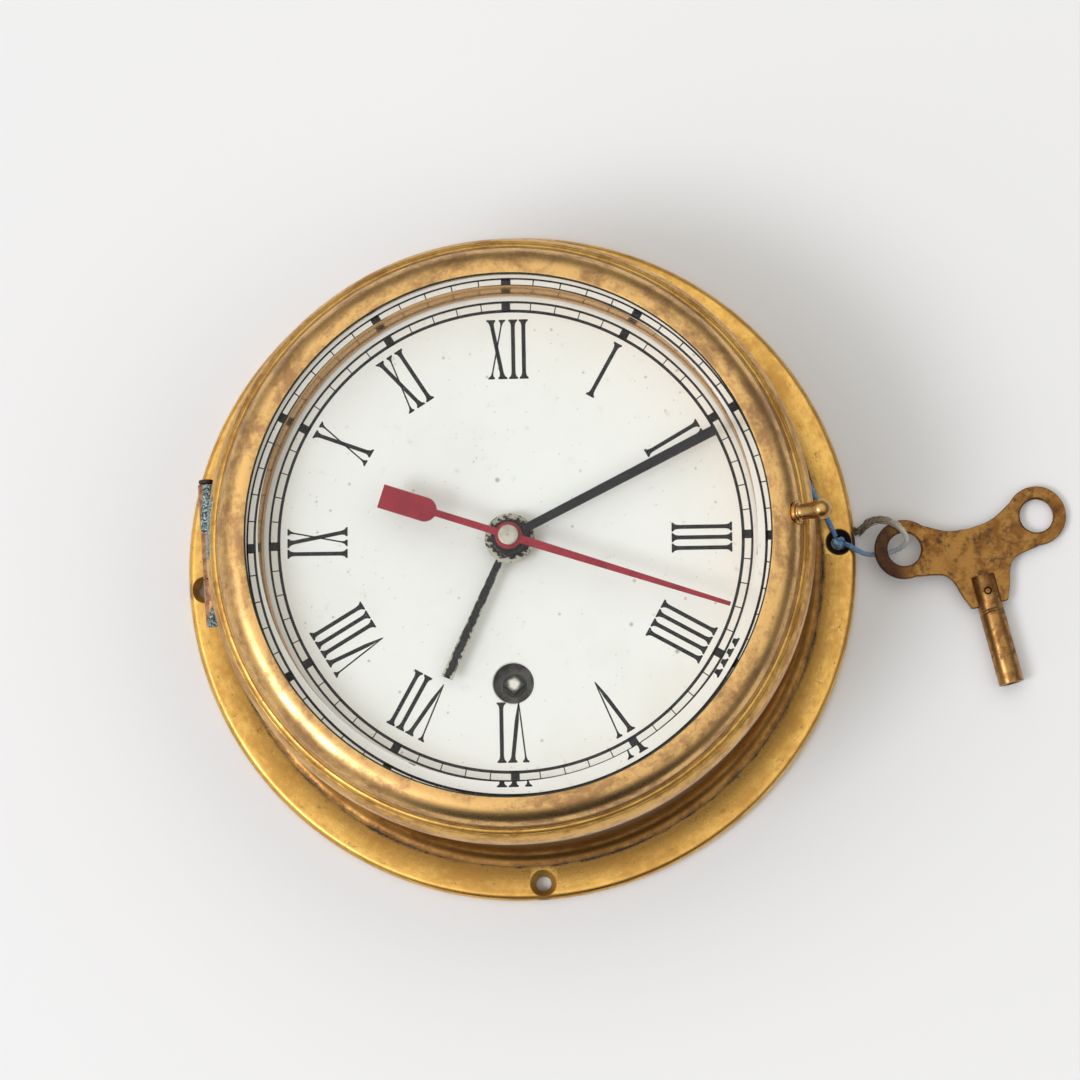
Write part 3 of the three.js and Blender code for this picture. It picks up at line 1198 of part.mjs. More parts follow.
function place(parent, name, geometry, material, [x, y] = [0, 0]) {
  const mesh = new THREE.Mesh(geometry, material);
  mesh.name = name;
  mesh.position.set(x, y, 0);
  parent.add(mesh);
  return mesh;
}

// Case and bezel
place(turnedCase, "mounting_flange", mountingFlange(), GOLDEN_BRASS);
place(turnedCase, "case_drum", caseDrum(), AGED_BRASS);
place(turnedCase, "hinge_case_leaf", hingeCaseLeaf(), AGED_BRASS);
place(turnedCase, "hinge_pin", hingePin(), BROWN_BRASS);
place(turnedCase, "bezel_catch", bezelCatch(), STEEL);
place(turnedCase, "bezel_ring", bezelRing(), AGED_BRASS);
place(turnedCase, "bezel_glass", bezelGlass(), CLEAR_GLASS);
place(turnedCase, "glass_retaining_ring", glassRetainingRing(), GOLDEN_BRASS);
place(turnedCase, "hinge_bezel_leaf", hingeBezelLeaf(), AGED_BRASS);
place(turnedCase, "bezel_knob", bezelKnob(), BROWN_BRASS);

// Back plate, movement frame and dial
place(clock, "back_plate", backPlate(), GOLDEN_BRASS);
place(clock, "front_plate", frontPlate(), MOVEMENT_BRASS);
place(clock, "rear_plate", rearPlate(), MOVEMENT_BRASS);
place(clock, "dial", dial(), ENAMEL);
for (const i of [0, 1, 2]) {
  const screwSeat = SEAT_GAP + SCREW_HEAD_HEIGHT;
  place(clock, `back_screw_${i + 1}`, screw(screwSeat, true), STEEL, POST_PLACES[i]);
  place(clock, `movement_post_${i + 1}`, movementPost(), MOVEMENT_BRASS, POST_PLACES[i]);
  place(clock, `pillar_${i + 1}`, pillar(), MOVEMENT_BRASS, PILLAR_PLACES[i]);
  place(clock, `pillar_screw_${i + 1}`, screw(FRONT_TOP, false), BLUE_STEEL, PILLAR_PLACES[i]);
  const foot = disc(DIAL_FOOT_RADIUS, FRONT_TOP, DIAL_BACK, SMALL_SIDES);
  place(clock, `dial_foot_${i + 1}`, foot, MOVEMENT_BRASS, DIAL_FOOT_PLACES[i]);
}

// Going train
place(clock, "mainspring_barrel", mainspringBarrel(), MOVEMENT_BRASS, WINDING_PLACE);
place(clock, "barrel_cover", barrelCover(), MOVEMENT_BRASS, WINDING_PLACE);
place(clock, "mainspring", mainspring(), BLUE_STEEL, WINDING_PLACE);
place(clock, "winding_arbor", windingArbor(), STEEL, WINDING_PLACE);
place(clock, "ratchet_wheel", ratchetWheel(), STEEL, WINDING_PLACE);
place(clock, "click", click(), STEEL, CLICK_PLACE);
place(clock, "click_screw", clickScrew(), BLUE_STEEL, CLICK_PLACE);
place(clock, "click_spring", clickSpring(), BLUE_STEEL);
place(clock, "intermediate_wheel", intermediateWheel(), MOVEMENT_BRASS, INTERMEDIATE_PLACE);
place(clock, "centre_wheel", centreWheel(), MOVEMENT_BRASS);
place(clock, "third_wheel", thirdWheel(), MOVEMENT_BRASS, THIRD_PLACE);
place(clock, "seconds_arbor", secondsArbor(), STEEL);
place(clock, "escape_wheel", escapeWheel(), MOVEMENT_BRASS, ESCAPE_PLACE);
place(clock, "pallet_lever", palletLever(), STEEL, PALLET_PLACE);
place(clock, "balance_wheel", balanceWheel(), MOVEMENT_BRASS, BALANCE_PLACE);
place(clock, "hairspring", hairspring(), BLUE_STEEL, BALANCE_PLACE);
place(clock, "balance_cock", balanceCock(), MOVEMENT_BRASS);

// Motion work and hands
place(clock, "cannon_pinion", cannonPinion(), STEEL);
place(clock, "minute_wheel", minuteWheel(), MOVEMENT_BRASS, MOTION_PLACE);
place(clock, "minute_wheel_post", minuteWheelPost(), STEEL, MOTION_PLACE);
place(clock, "hour_wheel", hourWheel(), MOVEMENT_BRASS);
const hourBore = HOUR_PIPE - PIPE_SHOULDER + RUNNING_GAP;
const minuteBore = CANNON_TUBE - PIPE_SHOULDER + RUNNING_GAP;
const hourHand = straightHand(HOUR_HAND, HOUR_HAND.length, hourBore);
const minuteHand = straightHand(MINUTE_HAND, RETAINER_INNER - MINUTE_HAND.tipGap, minuteBore);
place(clock, "hour_hand", hourHand, BLACK_PAINT).rotation.z = -degToRad(HOUR_HAND.angle);
place(clock, "minute_hand", minuteHand, BLACK_PAINT).rotation.z = -degToRad(MINUTE_HAND.angle);
place(clock, "seconds_hand", secondsHand(), RED_PAINT).rotation.z = -degToRad(SECONDS_HAND.angle);
place(clock, "seconds_boss", secondsBoss(), STEEL);

// Key on its string
const key = new THREE.Group();
const tiltedKey = new THREE.Group();
key.position.set(FLANGE_RADIUS + KEY_OFFSET[0], KEY_OFFSET[1], KEY_BARREL_RADIUS + KEY_REST);
key.rotation.z = KEY_TURN;
tiltedKey.rotation.y = KEY_TILT;
clock.add(key);
key.add(tiltedKey);
place(tiltedKey, "key_bow", keyBow(), GOLDEN_BRASS);
place(tiltedKey, "key_barrel", keyBarrel(), BROWN_BRASS);
place(tiltedKey, "key_pin", keyPin(), BROWN_BRASS);

const knotBall = new THREE.SphereGeometry(KNOT_RADIUS, SMALL_SIDES, EDGE_STEPS * 2);
const knot = place(clock, "string_knot", knotBall, BLUE_STRING, polar(FLANGE_SCREW_CIRCLE, CASE_TURN));
knot.position.z = KNOT_HEIGHT;
const keyRoute = KEY_STRING_ROUTE.map(([across, up, z]) => [FLANGE_RADIUS + across, up, z]);
const tailRoute = STRING_TAIL_ROUTE.map(([inset, angle, z]) => {
  return [...polar(FLANGE_RADIUS - inset, degToRad(angle)), z];
});
place(clock, "key_string", string(keyRoute), BLUE_STRING);
place(clock, "string_tail", string(tailRoute), BLUE_STRING);

export default clock;
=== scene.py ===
"""Looks of a brass ships clock and its winding key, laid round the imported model.

Shapes are worked out in millimetres, in the part's own frame.
"""

import bmesh
import bpy
import numpy as np
from mathutils import Matrix, Vector


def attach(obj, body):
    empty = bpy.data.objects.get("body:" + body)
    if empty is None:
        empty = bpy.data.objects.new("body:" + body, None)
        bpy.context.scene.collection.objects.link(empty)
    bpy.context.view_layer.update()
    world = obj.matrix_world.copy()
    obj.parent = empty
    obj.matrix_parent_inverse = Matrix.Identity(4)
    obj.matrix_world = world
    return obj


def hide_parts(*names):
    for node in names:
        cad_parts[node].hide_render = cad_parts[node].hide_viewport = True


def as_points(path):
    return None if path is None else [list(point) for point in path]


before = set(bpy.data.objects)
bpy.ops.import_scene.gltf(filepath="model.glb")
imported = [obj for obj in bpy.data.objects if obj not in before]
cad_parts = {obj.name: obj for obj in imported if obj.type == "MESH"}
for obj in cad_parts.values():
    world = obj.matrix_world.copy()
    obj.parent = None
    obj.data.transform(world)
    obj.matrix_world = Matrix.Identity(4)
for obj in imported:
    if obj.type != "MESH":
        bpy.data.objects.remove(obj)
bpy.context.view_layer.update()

MM = 0.001
ROUND = 288  # cells round a large turned ring
SMALL_ROUND = 64  # and round a small one
PIN_ROUND = 40  # and round a pin or a screw
BORE_ROUND = 32  # and round a small bore
CASE_TURN = np.radians(2.8)  # the case sits a little turned round its dial
UNDER = 1.0  # how far a cutter reaches past what it cuts

# Places that shapes and finishes share

HOLE_CIRCLE = 87.5  # radius of the circle that the flange's screw holes lie on
GROOVE_RADIUS, LINE_RADIUS = 77.3, 78.7  # of the bezel's groove and of the fine line in its bead
WINDING_AT = (0, -38, 0)
KEY_AT = (123.5, 6.03, 3.6)
KEY_TURN, KEY_TILT = np.radians(13.4), np.radians(4.7)
HOUR_ANGLE, MINUTE_ANGLE, SECONDS_ANGLE = 205.3, 63.8, 108.8  # clockwise from twelve
HOUR_HUB, MINUTE_HUB, SECONDS_HUB = 6.6, 4.7, 3.6  # radii
PADDLE = 3.2  # half the width of the seconds hand's tail


# Camera

def turn(axis, degrees):
    """Rotation about one axis of the frame."""
    return Matrix.Rotation(np.radians(degrees), 3, axis)


VIEW = turn("X", -7.51) @ turn("Y", -2.77) @ turn("Z", 1.2)
CAMERA_OFFSET = Vector((4.93, 7.81, 1381)) * MM
SENSOR, FOCAL_LENGTH = 36, 166.67
lens = bpy.data.cameras.new("camera")
lens.sensor_width = SENSOR
lens.lens = FOCAL_LENGTH
camera = bpy.data.objects.new("camera", lens)
camera.matrix_world = Matrix.Translation(VIEW.transposed() @ CAMERA_OFFSET) @ VIEW.transposed().to_4x4()
bpy.context.scene.collection.objects.link(camera)
bpy.context.scene.camera = camera


# Shapes

def quads(rows, columns, close_rows, close_columns):
    """Corners of the cells of a grid of points; a closed way joins its last line to its first."""
    i = np.arange(rows if close_rows else rows - 1)[:, None]
    j = np.arange(columns if close_columns else columns - 1)[None, :]
    below, beside = (i + 1) % rows, (j + 1) % columns
    cell = [i * columns + j, i * columns + beside, below * columns + beside, below * columns + j]
    return np.stack(cell, -1).reshape(-1, 4).tolist()


def arc(centre, across, up, start, end, steps=10):
    """Part of an ellipse: its centre plus (across cos a, up sin a), with a from start to end in degrees."""
    a = np.radians(np.linspace(start, end, steps + 1))
    return np.stack([centre[0] + across * np.cos(a), centre[1] + up * np.sin(a)], -1)


def eased(corners, cut, steps=3):
    """A closed outline whose corners are parabolas that leave and meet their edges at the cut distance."""
    corners = np.asarray(corners, float)

    def toward(edge):
        length = np.linalg.norm(edge, axis=1, keepdims=True)
        return corners + edge / length * np.minimum(cut, 0.45 * length)

    start, end = toward(np.roll(corners, 1, 0) - corners), toward(np.roll(corners, -1, 0) - corners)
    t = np.linspace(0, 1, steps + 1)[None, :, None]
    curve = (1 - t) ** 2 * start[:, None] + 2 * t * (1 - t) * corners[:, None] + t ** 2 * end[:, None]
    return curve.reshape(-1, 2)


def smooth(route, steps):
    """A path through the route's points.

    Each span is the cubic whose slope at a point is half the step between that point's two neighbours.
    """
    p = np.asarray(route, float)
    held = np.vstack([2 * p[0] - p[1], p, 2 * p[-1] - p[-2]])
    slope = (held[2:] - held[:-2]) / 2
    t = np.linspace(0, 1, steps, endpoint=False)[None, :, None]
    a, b, leave, meet = p[:-1, None], p[1:, None], slope[:-1, None], slope[1:, None]
    spans = ((2 * t ** 3 - 3 * t ** 2 + 1) * a + (t ** 3 - 2 * t ** 2 + t) * leave
             + (3 * t ** 2 - 2 * t ** 3) * b + (t ** 3 - t ** 2) * meet)
    return np.vstack([spans.reshape(-1, p.shape[1]), p[-1:]])


def turned(profile, sides=ROUND):
    """A closed profile of (radius, height) carried round the Z axis."""
    profile = np.asarray(profile, float)
    a = np.linspace(0, 2 * np.pi, sides, endpoint=False)
    r, z = profile[:, :1], profile[:, 1:]
    points = np.stack([r * np.cos(a), r * np.sin(a), z + 0 * a], -1)
    return points.reshape(-1, 3), quads(len(profile), sides, True, True)


def loft(loops):
    """Closed loops of points joined one to the next, with the first and last filled."""
    loops = np.asarray(loops, float)
    count, around = loops.shape[:2]
    first = list(range(around))[::-1]
    last = list(range((count - 1) * around, count * around))
    return loops.reshape(-1, 3), quads(count, around, False, True) + [first, last]


def inset(outline, amount):
    """A closed outline moved inwards, each corner along the mean of its two edges' normals."""
    edge = np.roll(outline, -1, 0) - outline
    normal = np.stack([edge[:, 1], -edge[:, 0]], -1)
    normal /= np.maximum(np.linalg.norm(normal, axis=1, keepdims=True), 1e-9)
    mean = normal + np.roll(normal, 1, 0)
    mean /= np.maximum((mean ** 2).sum(1, keepdims=True) / 2, 0.3)
    return outline - amount * mean


def plate(outline, low, high, ease=0.0):
    """An outline carried up from low to high, drawn in by ease at both faces."""
    outline = np.asarray(outline, float)
    drawn = inset(outline, ease)
    levels = [(drawn, low), (outline, low + ease), (outline, high - ease), (drawn, high)]
    kept = levels if ease else [levels[0], levels[3]]
    return loft([np.column_stack([line, np.full(len(line), z)]) for line, z in kept])


def box(low, high):
    """A plain block between two corners."""
    (x0, y0, z0), (x1, y1, z1) = low, high
    return plate([(x0, y0), (x1, y0), (x1, y1), (x0, y1)], z0, z1)


def together(shapes):
    """Several shapes as one list of points and faces."""
    points, faces, start = [], [], 0
    for shape_points, shape_faces in shapes:
        points.append(shape_points)
        faces += [[start + i for i in face] for face in shape_faces]
        start += len(shape_points)
    return np.vstack(points), faces


def placed(shape, matrix):
    """A shape moved by a matrix whose translation is in millimetres."""
    points, faces = shape
    m = np.array(matrix)
    return points @ m[:3, :3].T + m[:3, 3], faces


def moved(shape, x, y, z=0.0):
    """A shape moved along the axes."""
    return placed(shape, Matrix.Translation((x, y, z)))


def spun(shape, angle):
    """A shape turned about the Z axis."""
    return placed(shape, Matrix.Rotation(angle, 4, "Z"))


def on_y(shape, x=0.0, z=0.0):
    """A shape turned about Z laid along the Y axis, then moved."""
    return placed(shape, Matrix.Translation((x, 0, z)) @ Matrix.Rotation(-np.pi / 2, 4, "X"))


def raw(name, shape, values=None):
    """A mesh object of that shape, with its doubles merged and its faces turned outwards."""
    points, faces = shape
    mesh = bpy.data.meshes.new(name)
    mesh.from_pydata((points * MM).tolist(), [], faces)
    for key, value in (values or {}).items():
        held = mesh.attributes.new(key, "FLOAT", "POINT").data
        held.foreach_set("value", np.asarray(value, np.float32).ravel())
    work = bmesh.new()
    work.from_mesh(mesh)
    bmesh.ops.remove_doubles(work, verts=work.verts, dist=1e-7)
    bmesh.ops.recalc_face_normals(work, faces=work.faces)
    work.to_mesh(mesh)
    work.free()
    made = bpy.data.objects.new(name, mesh)
    bpy.context.scene.collection.objects.link(made)
    return made


def carve(piece, tools, operation="DIFFERENCE"):
    """Cuts other shapes away from a piece, or joins them to it."""
    cutters = [raw("tool", shape) for shape in tools]
    for cutter in cutters:
        step = piece.modifiers.new("carve", "BOOLEAN")
        step.operation = operation
        step.solver = "EXACT"
        step.object = cutter
    graph = bpy.context.evaluated_depsgraph_get()
    done = bpy.data.meshes.new_from_object(piece.evaluated_get(graph))
    piece.modifiers.clear()
    piece.data = done
    for cutter in cutters:
        bpy.data.objects.remove(cutter)


def settle(piece, body, slot, finish, *nodes, sharp=34):
    """A finished piece: shaded, painted, riding on its body and standing for its nodes."""
    piece.data.shade_smooth()
    piece.data.set_sharp_from_angle(angle=np.radians(sharp))
    piece.data.materials.clear()
    piece.data.materials.append(finish)
    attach(piece, body)
    if nodes:
        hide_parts(*nodes)
    return piece


# Node trees

MIX_FACTOR, MIX_A, MIX_B, MIX_RESULT = 0, 6, 7, 2  # a Mix node's sockets for colours


def plug(tree, socket, value):
    """Links a wire to a socket, or sets the socket's own value."""
    if isinstance(value, Wire):
        tree.links.new(value.socket, socket)
    else:
        socket.default_value = value


class Wire:
    """An output socket. Arithmetic on it adds Math nodes."""

    def __init__(self, tree, socket):
        self.tree, self.socket = tree, socket

    def maths(self, operation, *values):
        made = self.tree.nodes.new("ShaderNodeMath")
        made.operation = operation
        for socket, value in zip(made.inputs, values):
            plug(self.tree, socket, value)
        return Wire(self.tree, made.outputs[0])

    def __add__(self, other):
        return self.maths("ADD", self, other)

    def __sub__(self, other):
        return self.maths("SUBTRACT", self, other)

    def __rsub__(self, other):
        return self.maths("SUBTRACT", other, self)

    def __mul__(self, other):
        return self.maths("MULTIPLY", self, other)

    def __truediv__(self, other):
        return self.maths("DIVIDE", self, other)

    def __pow__(self, other):
        return self.maths("POWER", self, other)

    def __abs__(self):
        return self.maths("ABSOLUTE", self)

    def most(self, other):
        return self.maths("MAXIMUM", self, other)

    __radd__, __rmul__ = __add__, __mul__


class Tree:
    """A node tree whose patterns read the part's own frame, in millimetres."""

    def __init__(self, owner):
        owner.use_nodes = True
        self.tree = owner.node_tree
        self.tree.nodes.clear()

    def node(self, kind, settings=None, inputs=None, out=0):
        made = self.tree.nodes.new(kind)
        for key, value in (settings or {}).items():
            setattr(made, key, value)
        for key, value in (inputs or {}).items():
            plug(self.tree, made.inputs[key], value)
        return Wire(self.tree, made.outputs[out])

    def mix(self, factor, a, b):
        """Colour a where the factor is 0, and b where it is 1."""
        inputs = {MIX_FACTOR: factor, MIX_A: a, MIX_B: b}
        return self.node("ShaderNodeMix", {"data_type": "RGBA", "clamp_factor": True}, inputs, MIX_RESULT)

    def step(self, value, low, high):
        """0 below low, 1 above high and smooth between; low above high turns it round."""
        ends = {"Value": value, "From Min": low, "From Max": high}
        return self.node("ShaderNodeMapRange", {"interpolation_type": "SMOOTHSTEP"}, ends)

    def frame(self, turned_by=0.0, centre=(0, 0, 0), stretch=(1, 1, 1)):
        """Millimetres from a centre in the part's frame, turned back about Z."""
        at = self.node("ShaderNodeTexCoord", out="Object")
        shift = {"Vector": at, "Location": [-c * MM for c in centre]}
        if turned_by:
            shifted = self.node("ShaderNodeMapping", {"vector_type": "POINT"}, shift)
            at = self.node("ShaderNodeMapping", {}, {"Vector": shifted, "Rotation": (0, 0, -turned_by)})
        elif any(centre):
            at = self.node("ShaderNodeMapping", {"vector_type": "POINT"}, shift)
        size = [s / MM for s in stretch]
        return self.node("ShaderNodeVectorMath", {"operation": "MULTIPLY"}, {0: at, 1: size})

    def parts(self, vector):
        made = self.tree.nodes.new("ShaderNodeSeparateXYZ")
        plug(self.tree, made.inputs[0], vector)
        return [Wire(self.tree, s) for s in made.outputs]

    def noise(self, at, size, detail=4, rough=0.55, warp=0.0):
        """Cloudy noise whose patches are about size millimetres across."""
        values = {"Vector": at, "Scale": 1 / size, "Detail": detail, "Roughness": rough, "Distortion": warp}
        return self.node("ShaderNodeTexNoise", {}, values)

    def line_noise(self, w, size, detail=3):
        """Noise along one number."""
        values = {"W": w, "Scale": 1 / size, "Detail": detail, "Roughness": 0.65}
        return self.node("ShaderNodeTexNoise", {"noise_dimensions": "1D"}, values)

    def dots(self, at, apart, size, share):
        """Round specks about apart millimetres from each other, in a share of the cells."""
        made = self.tree.nodes.new("ShaderNodeTexVoronoi")
        plug(self.tree, made.inputs["Vector"], at)
        made.inputs["Scale"].default_value = 1 / apart
        chosen = self.parts(Wire(self.tree, made.outputs["Color"]))[0]
        reach = size / apart
        near = self.step(Wire(self.tree, made.outputs["Distance"]), reach, 0.4 * reach)
        return near * self.step(chosen, 1 - share, 1 - share + 0.02)


class Finish(Tree):
    """A material of one Principled shader."""

    def __init__(self, name, **constants):
        self.material = bpy.data.materials.new(name)
        super().__init__(self.material)
        self.shader = self.tree.nodes.new("ShaderNodeBsdfPrincipled")
        self.end = self.tree.nodes.new("ShaderNodeOutputMaterial")
        self.tree.links.new(self.shader.outputs[0], self.end.inputs[0])
        self.set(**constants)

    def set(self, **values):
        for key, value in values.items():
            plug(self.tree, self.shader.inputs[key.replace("_", " ")], value)
        return self

    def bump(self, height, depth, strength=1.0):
        """Relief of a height from 0 to 1 that stands for depth millimetres."""
        relief = {"Height": height, "Distance": depth * MM, "Strength": strength}
        return self.set(Normal=self.node("ShaderNodeBump", {}, relief))


def tone(red, green, blue):
    """A linear colour from the 0 to 255 values it shows as."""
    c = np.array([red, green, blue]) / 255
    c = np.where(c <= 0.04045, c / 12.92, ((c + 0.055) / 1.055) ** 2.4)
    return (*c.tolist(), 1.0)


# Dark browns of pits and soil; they are also the colours of the painted shade in corners, grooves, holes and
# under the bezel.
PIT_AND_SHADE = tone(46, 28, 14)
GRIME_AND_SHADE = tone(52, 34, 18)
SOIL_AND_SHADE = tone(30, 19, 11)
WRAP = 26  # radius that the patches of every ring are wrapped round


def verdigris(f, at):
    """Speckled blue-green crust: dark, pale and white grains a fraction of a millimetre across."""
    grain = f.noise(at, 0.5, 3, 0.75)
    crust = f.mix(f.step(grain, 0.43, 0.49), tone(38, 50, 48), tone(98, 124, 126))
    return f.mix(f.step(grain, 0.53, 0.59), crust, tone(204, 218, 218))


def brass(name, bright, dull, worn, pits, marks, gloss,
          shade=None, haze=0.0, soil_and_shade=GRIME_AND_SHADE, rim=None, bloom=None):
    """Old turned brass: dull patches drawn out round the axis, fine marks of the lathe, and pits.

    Soil and painted shade lie where shade says, and verdigris where bloom says. A haze dims the dull patches.
    A rim, given as (radius, bright, dull), has its own tones from that radius outwards.
    """
    f = Finish(name)
    at = f.frame()
    x, y, z = f.parts(at)
    radius = (x * x + y * y + 0.01) ** 0.5
    across = radius - z * 0.8
    around = f.node("ShaderNodeCombineXYZ", {}, {0: x * WRAP / radius, 1: y * WRAP / radius, 2: across * 0.7})
    fine = f.noise(at, 0.7, 4, 0.65)
    cloud = f.noise(around, 4.5, 8, 0.68, 0.3)
    mottle = f.noise(at, 2.2, 7, 0.75)
    patina = f.step(cloud * 0.65 + mottle * 0.35, *worn)
    ring = f.line_noise(across + cloud * 0.2, 0.3)
    streak = (ring - 0.5) * marks * f.step(f.noise(at, 11, 3), 0.35, 0.65)
    spots = f.dots(at, 2.1, 0.2, pits)
    colour = f.mix(patina, bright, dull)
    rough = gloss[0] + patina * (gloss[1] - gloss[0]) + fine * 0.08
    if rim:
        start, rim_bright, rim_dull = rim
        outer = f.step(radius, start, start + 0.5)
        colour = f.mix(outer, colour, f.mix(patina, rim_bright, rim_dull))
        rough = rough + outer * 0.1
    colour = f.mix(abs(streak) * 1.5, colour, f.mix(f.step(streak, -0.01, 0.01), dull, bright))
    # the shade function's mask darkens the colour to the soil tone: painted shade in corners, grooves and
    # holes, with real soil and stains
    grime_and_shade = spots.most(shade(f, around, z, radius, fine)) if shade else spots
    colour = f.mix(grime_and_shade, colour, f.mix(spots, soil_and_shade, PIT_AND_SHADE))
    if bloom:
        crust = bloom(f, radius, fine)
        colour = f.mix(crust, colour, verdigris(f, at))
        grime_and_shade = grime_and_shade.most(crust)
    f.set(Base_Color=colour, Roughness=rough + grime_and_shade * 0.25, Metallic=1 - grime_and_shade * 0.8)
    if haze:
        film = haze * (0.4 + patina * 0.6)
        f.set(Coat_Weight=film * (1 - outer) if rim else film, Coat_Roughness=0.36, Coat_IOR=2.0)
    return f.bump(ring * 0.35 * marks + fine * 0.2 - spots * 0.8, 0.06, 0.5).material


def flange_shade(f, around, z, radius, fine):
    """Painted shade with soil in the corner below the drum and in the screw holes, and thin stains drawn out
    round the ring.
    """
    u, v, _ = f.parts(f.frame(CASE_TURN))
    far = abs(u).most(abs(v))
    along, aside = far - HOLE_CIRCLE, abs(u) + abs(v) - far
    inside = f.step((along * along + aside * aside) ** 0.5, 4.7, 4.4) * f.step(z, 4.98, 4.6)
    # painted shade: the right-hand hole, on the side in the lamp's shadow, is darker still
    hole = inside * (0.5 + f.step(u, 80, 82) * 0.5)
    broken = f.step(f.noise(around, 3.0, 5, 0.7), 0.42, 0.58)
    # painted shade with soil in the corner below the drum
    corner = f.step(radius + fine * 1.4, 84.7, 83.5) * (0.5 + broken * 0.5)
    stain = f.step(f.noise(around, 1.6, 6, 0.7) * 0.7 + fine * 0.3, 0.56, 0.68) * 0.55
    return corner.most(hole).most(stain)


def bezel_shade(f, around, z, radius, fine):
    """Painted shade with soil in the two fine lines of the bead, painted shade on the skirt under the bead,
    and thin brown stains on the moulding.
    """
    groove, line = abs(radius - GROOVE_RADIUS), abs(radius - LINE_RADIUS)
    # the groove and the fine line are darkened as painted shade with soil
    lines = f.step(groove, 0.25, 0.1).most(f.step(line, 0.2, 0.06)) * f.step(z, 64, 65)
    broken = f.step(f.noise(around, 2.0, 5, 0.7), 0.42, 0.58)
    stain = f.step(f.noise(around, 1.3, 6, 0.7) * 0.65 + fine * 0.35, 0.56, 0.7) * 0.4
    # the last term darkens the skirt below the bead as painted shade
    return (lines * (0.12 + broken * 0.5)).most(stain).most(f.step(z, 61.5, 58.5) * 0.6)


def bezel_bloom(f, radius, fine):
    """Verdigris on the bead beside the upper knuckle of the hinge."""
    at = f.frame(CASE_TURN)
    x, y, z = f.parts(at)
    ragged = f.noise(at, 2.6, 5, 0.7)
    patch = f.step(abs(y - 8.5) + ragged * 8, 13.0, 11.5) * f.step(z + ragged * 9, 64.2, 65.4)
    return patch * f.step(radius + fine * 0.8, 79.2, 79.7) * f.step(x, -70, -72)


def drum_shade(f, around, z, radius, fine):
    """A dark line of painted shade and soil in the corner at the flange, and painted shade that darkens the
    wall towards the bezel.
    """
    broken = f.step(f.noise(around, 3.0, 5, 0.7), 0.42, 0.58)
    corner = f.step(z + fine * 0.6, 6.5, 5.9) * (0.45 + broken * 0.5)
    # the second term darkens the wall towards the bezel as painted shade under its overhang
    return corner.most(f.step(z + fine * 5, 9, 20) * 0.8)


flange_brass = brass(
    "flange_brass", tone(236, 188, 102), tone(202, 152, 76), worn=(0.4, 0.6), pits=0.45, marks=0.7,
    gloss=(0.22, 0.32), shade=flange_shade, haze=0.08, soil_and_shade=SOIL_AND_SHADE)
bezel_brass = brass(
    "bezel_brass", tone(220, 176, 110), tone(158, 114, 62), worn=(0.42, 0.6), pits=0.3, marks=0.12,
    gloss=(0.19, 0.32), shade=bezel_shade, haze=0.42, rim=(76.6, tone(218, 172, 94), tone(174, 126, 64)),
    bloom=bezel_bloom)
# The drum's tones are set darker than the flange's as painted shade from the bezel above, over its own aged
# colour.
shaded_drum_brass = brass(
    "shaded_drum_brass", tone(178, 132, 70), tone(132, 88, 44), worn=(0.36, 0.66), pits=0.2, marks=0.5,
    gloss=(0.24, 0.36), shade=drum_shade, soil_and_shade=PIT_AND_SHADE)
back_brass = brass(
    "back_brass", tone(206, 158, 88), tone(160, 114, 62), worn=(0.42, 0.62), pits=0.25, marks=0.7,
    gloss=(0.32, 0.5))
polished_brass = brass(
    "polished_brass", tone(214, 168, 108), tone(190, 142, 86), worn=(0.45, 0.7), pits=0.03, marks=0.1,
    gloss=(0.16, 0.24))
knob_brass = brass(
    "knob_brass", tone(200, 158, 100), tone(146, 104, 60), worn=(0.42, 0.66), pits=0.1, marks=0.1,
    gloss=(0.17, 0.3))
works_brass = brass(
    "works_brass", tone(226, 184, 106), tone(200, 154, 82), worn=(0.42, 0.65), pits=0.05, marks=0.3,
    gloss=(0.22, 0.34))


def hinge_finish():
    """Brown brass, with verdigris on the upper knuckle and at the lower end."""
    f = Finish("hinge_brass")
    at = f.frame(CASE_TURN)
    x, y, z = f.parts(at)
    cloud = f.noise(at, 2.2, 5, 0.65)
    fine = f.noise(at, 0.5, 4, 0.6)
    worn = f.step(cloud, 0.4, 0.62)
    drift = (cloud - 0.5) * 1.2
    upper = f.step(x + drift + 82.4 - (y - 9) * 0.13, 0, 0.4) * f.step(y + drift * 3, 8.2, 9.2)
    lower = f.step(x + drift + 82.0 - (y + 16.6) * 0.25, 0, 0.4) * f.step(y + drift * 3, -11.2, -12.2)
    green = upper.most(lower) * f.step(z + cloud * 14, 60.0, 61.2)
    head = f.step(abs(y - 22.2), 0.8, 0.5)
    colour = f.mix(worn, tone(190, 144, 106), tone(140, 98, 70))
    colour = f.mix(head, f.mix(green, colour, verdigris(f, at)), tone(62, 42, 34))
    f.set(Base_Color=colour, Metallic=1 - green.most(head * 0.5) * 0.9)
    f.set(Roughness=0.34 + worn * 0.14 + green * 0.35)
    return f.bump(fine * 0.4 + green * 0.4, 0.1, 0.7).material


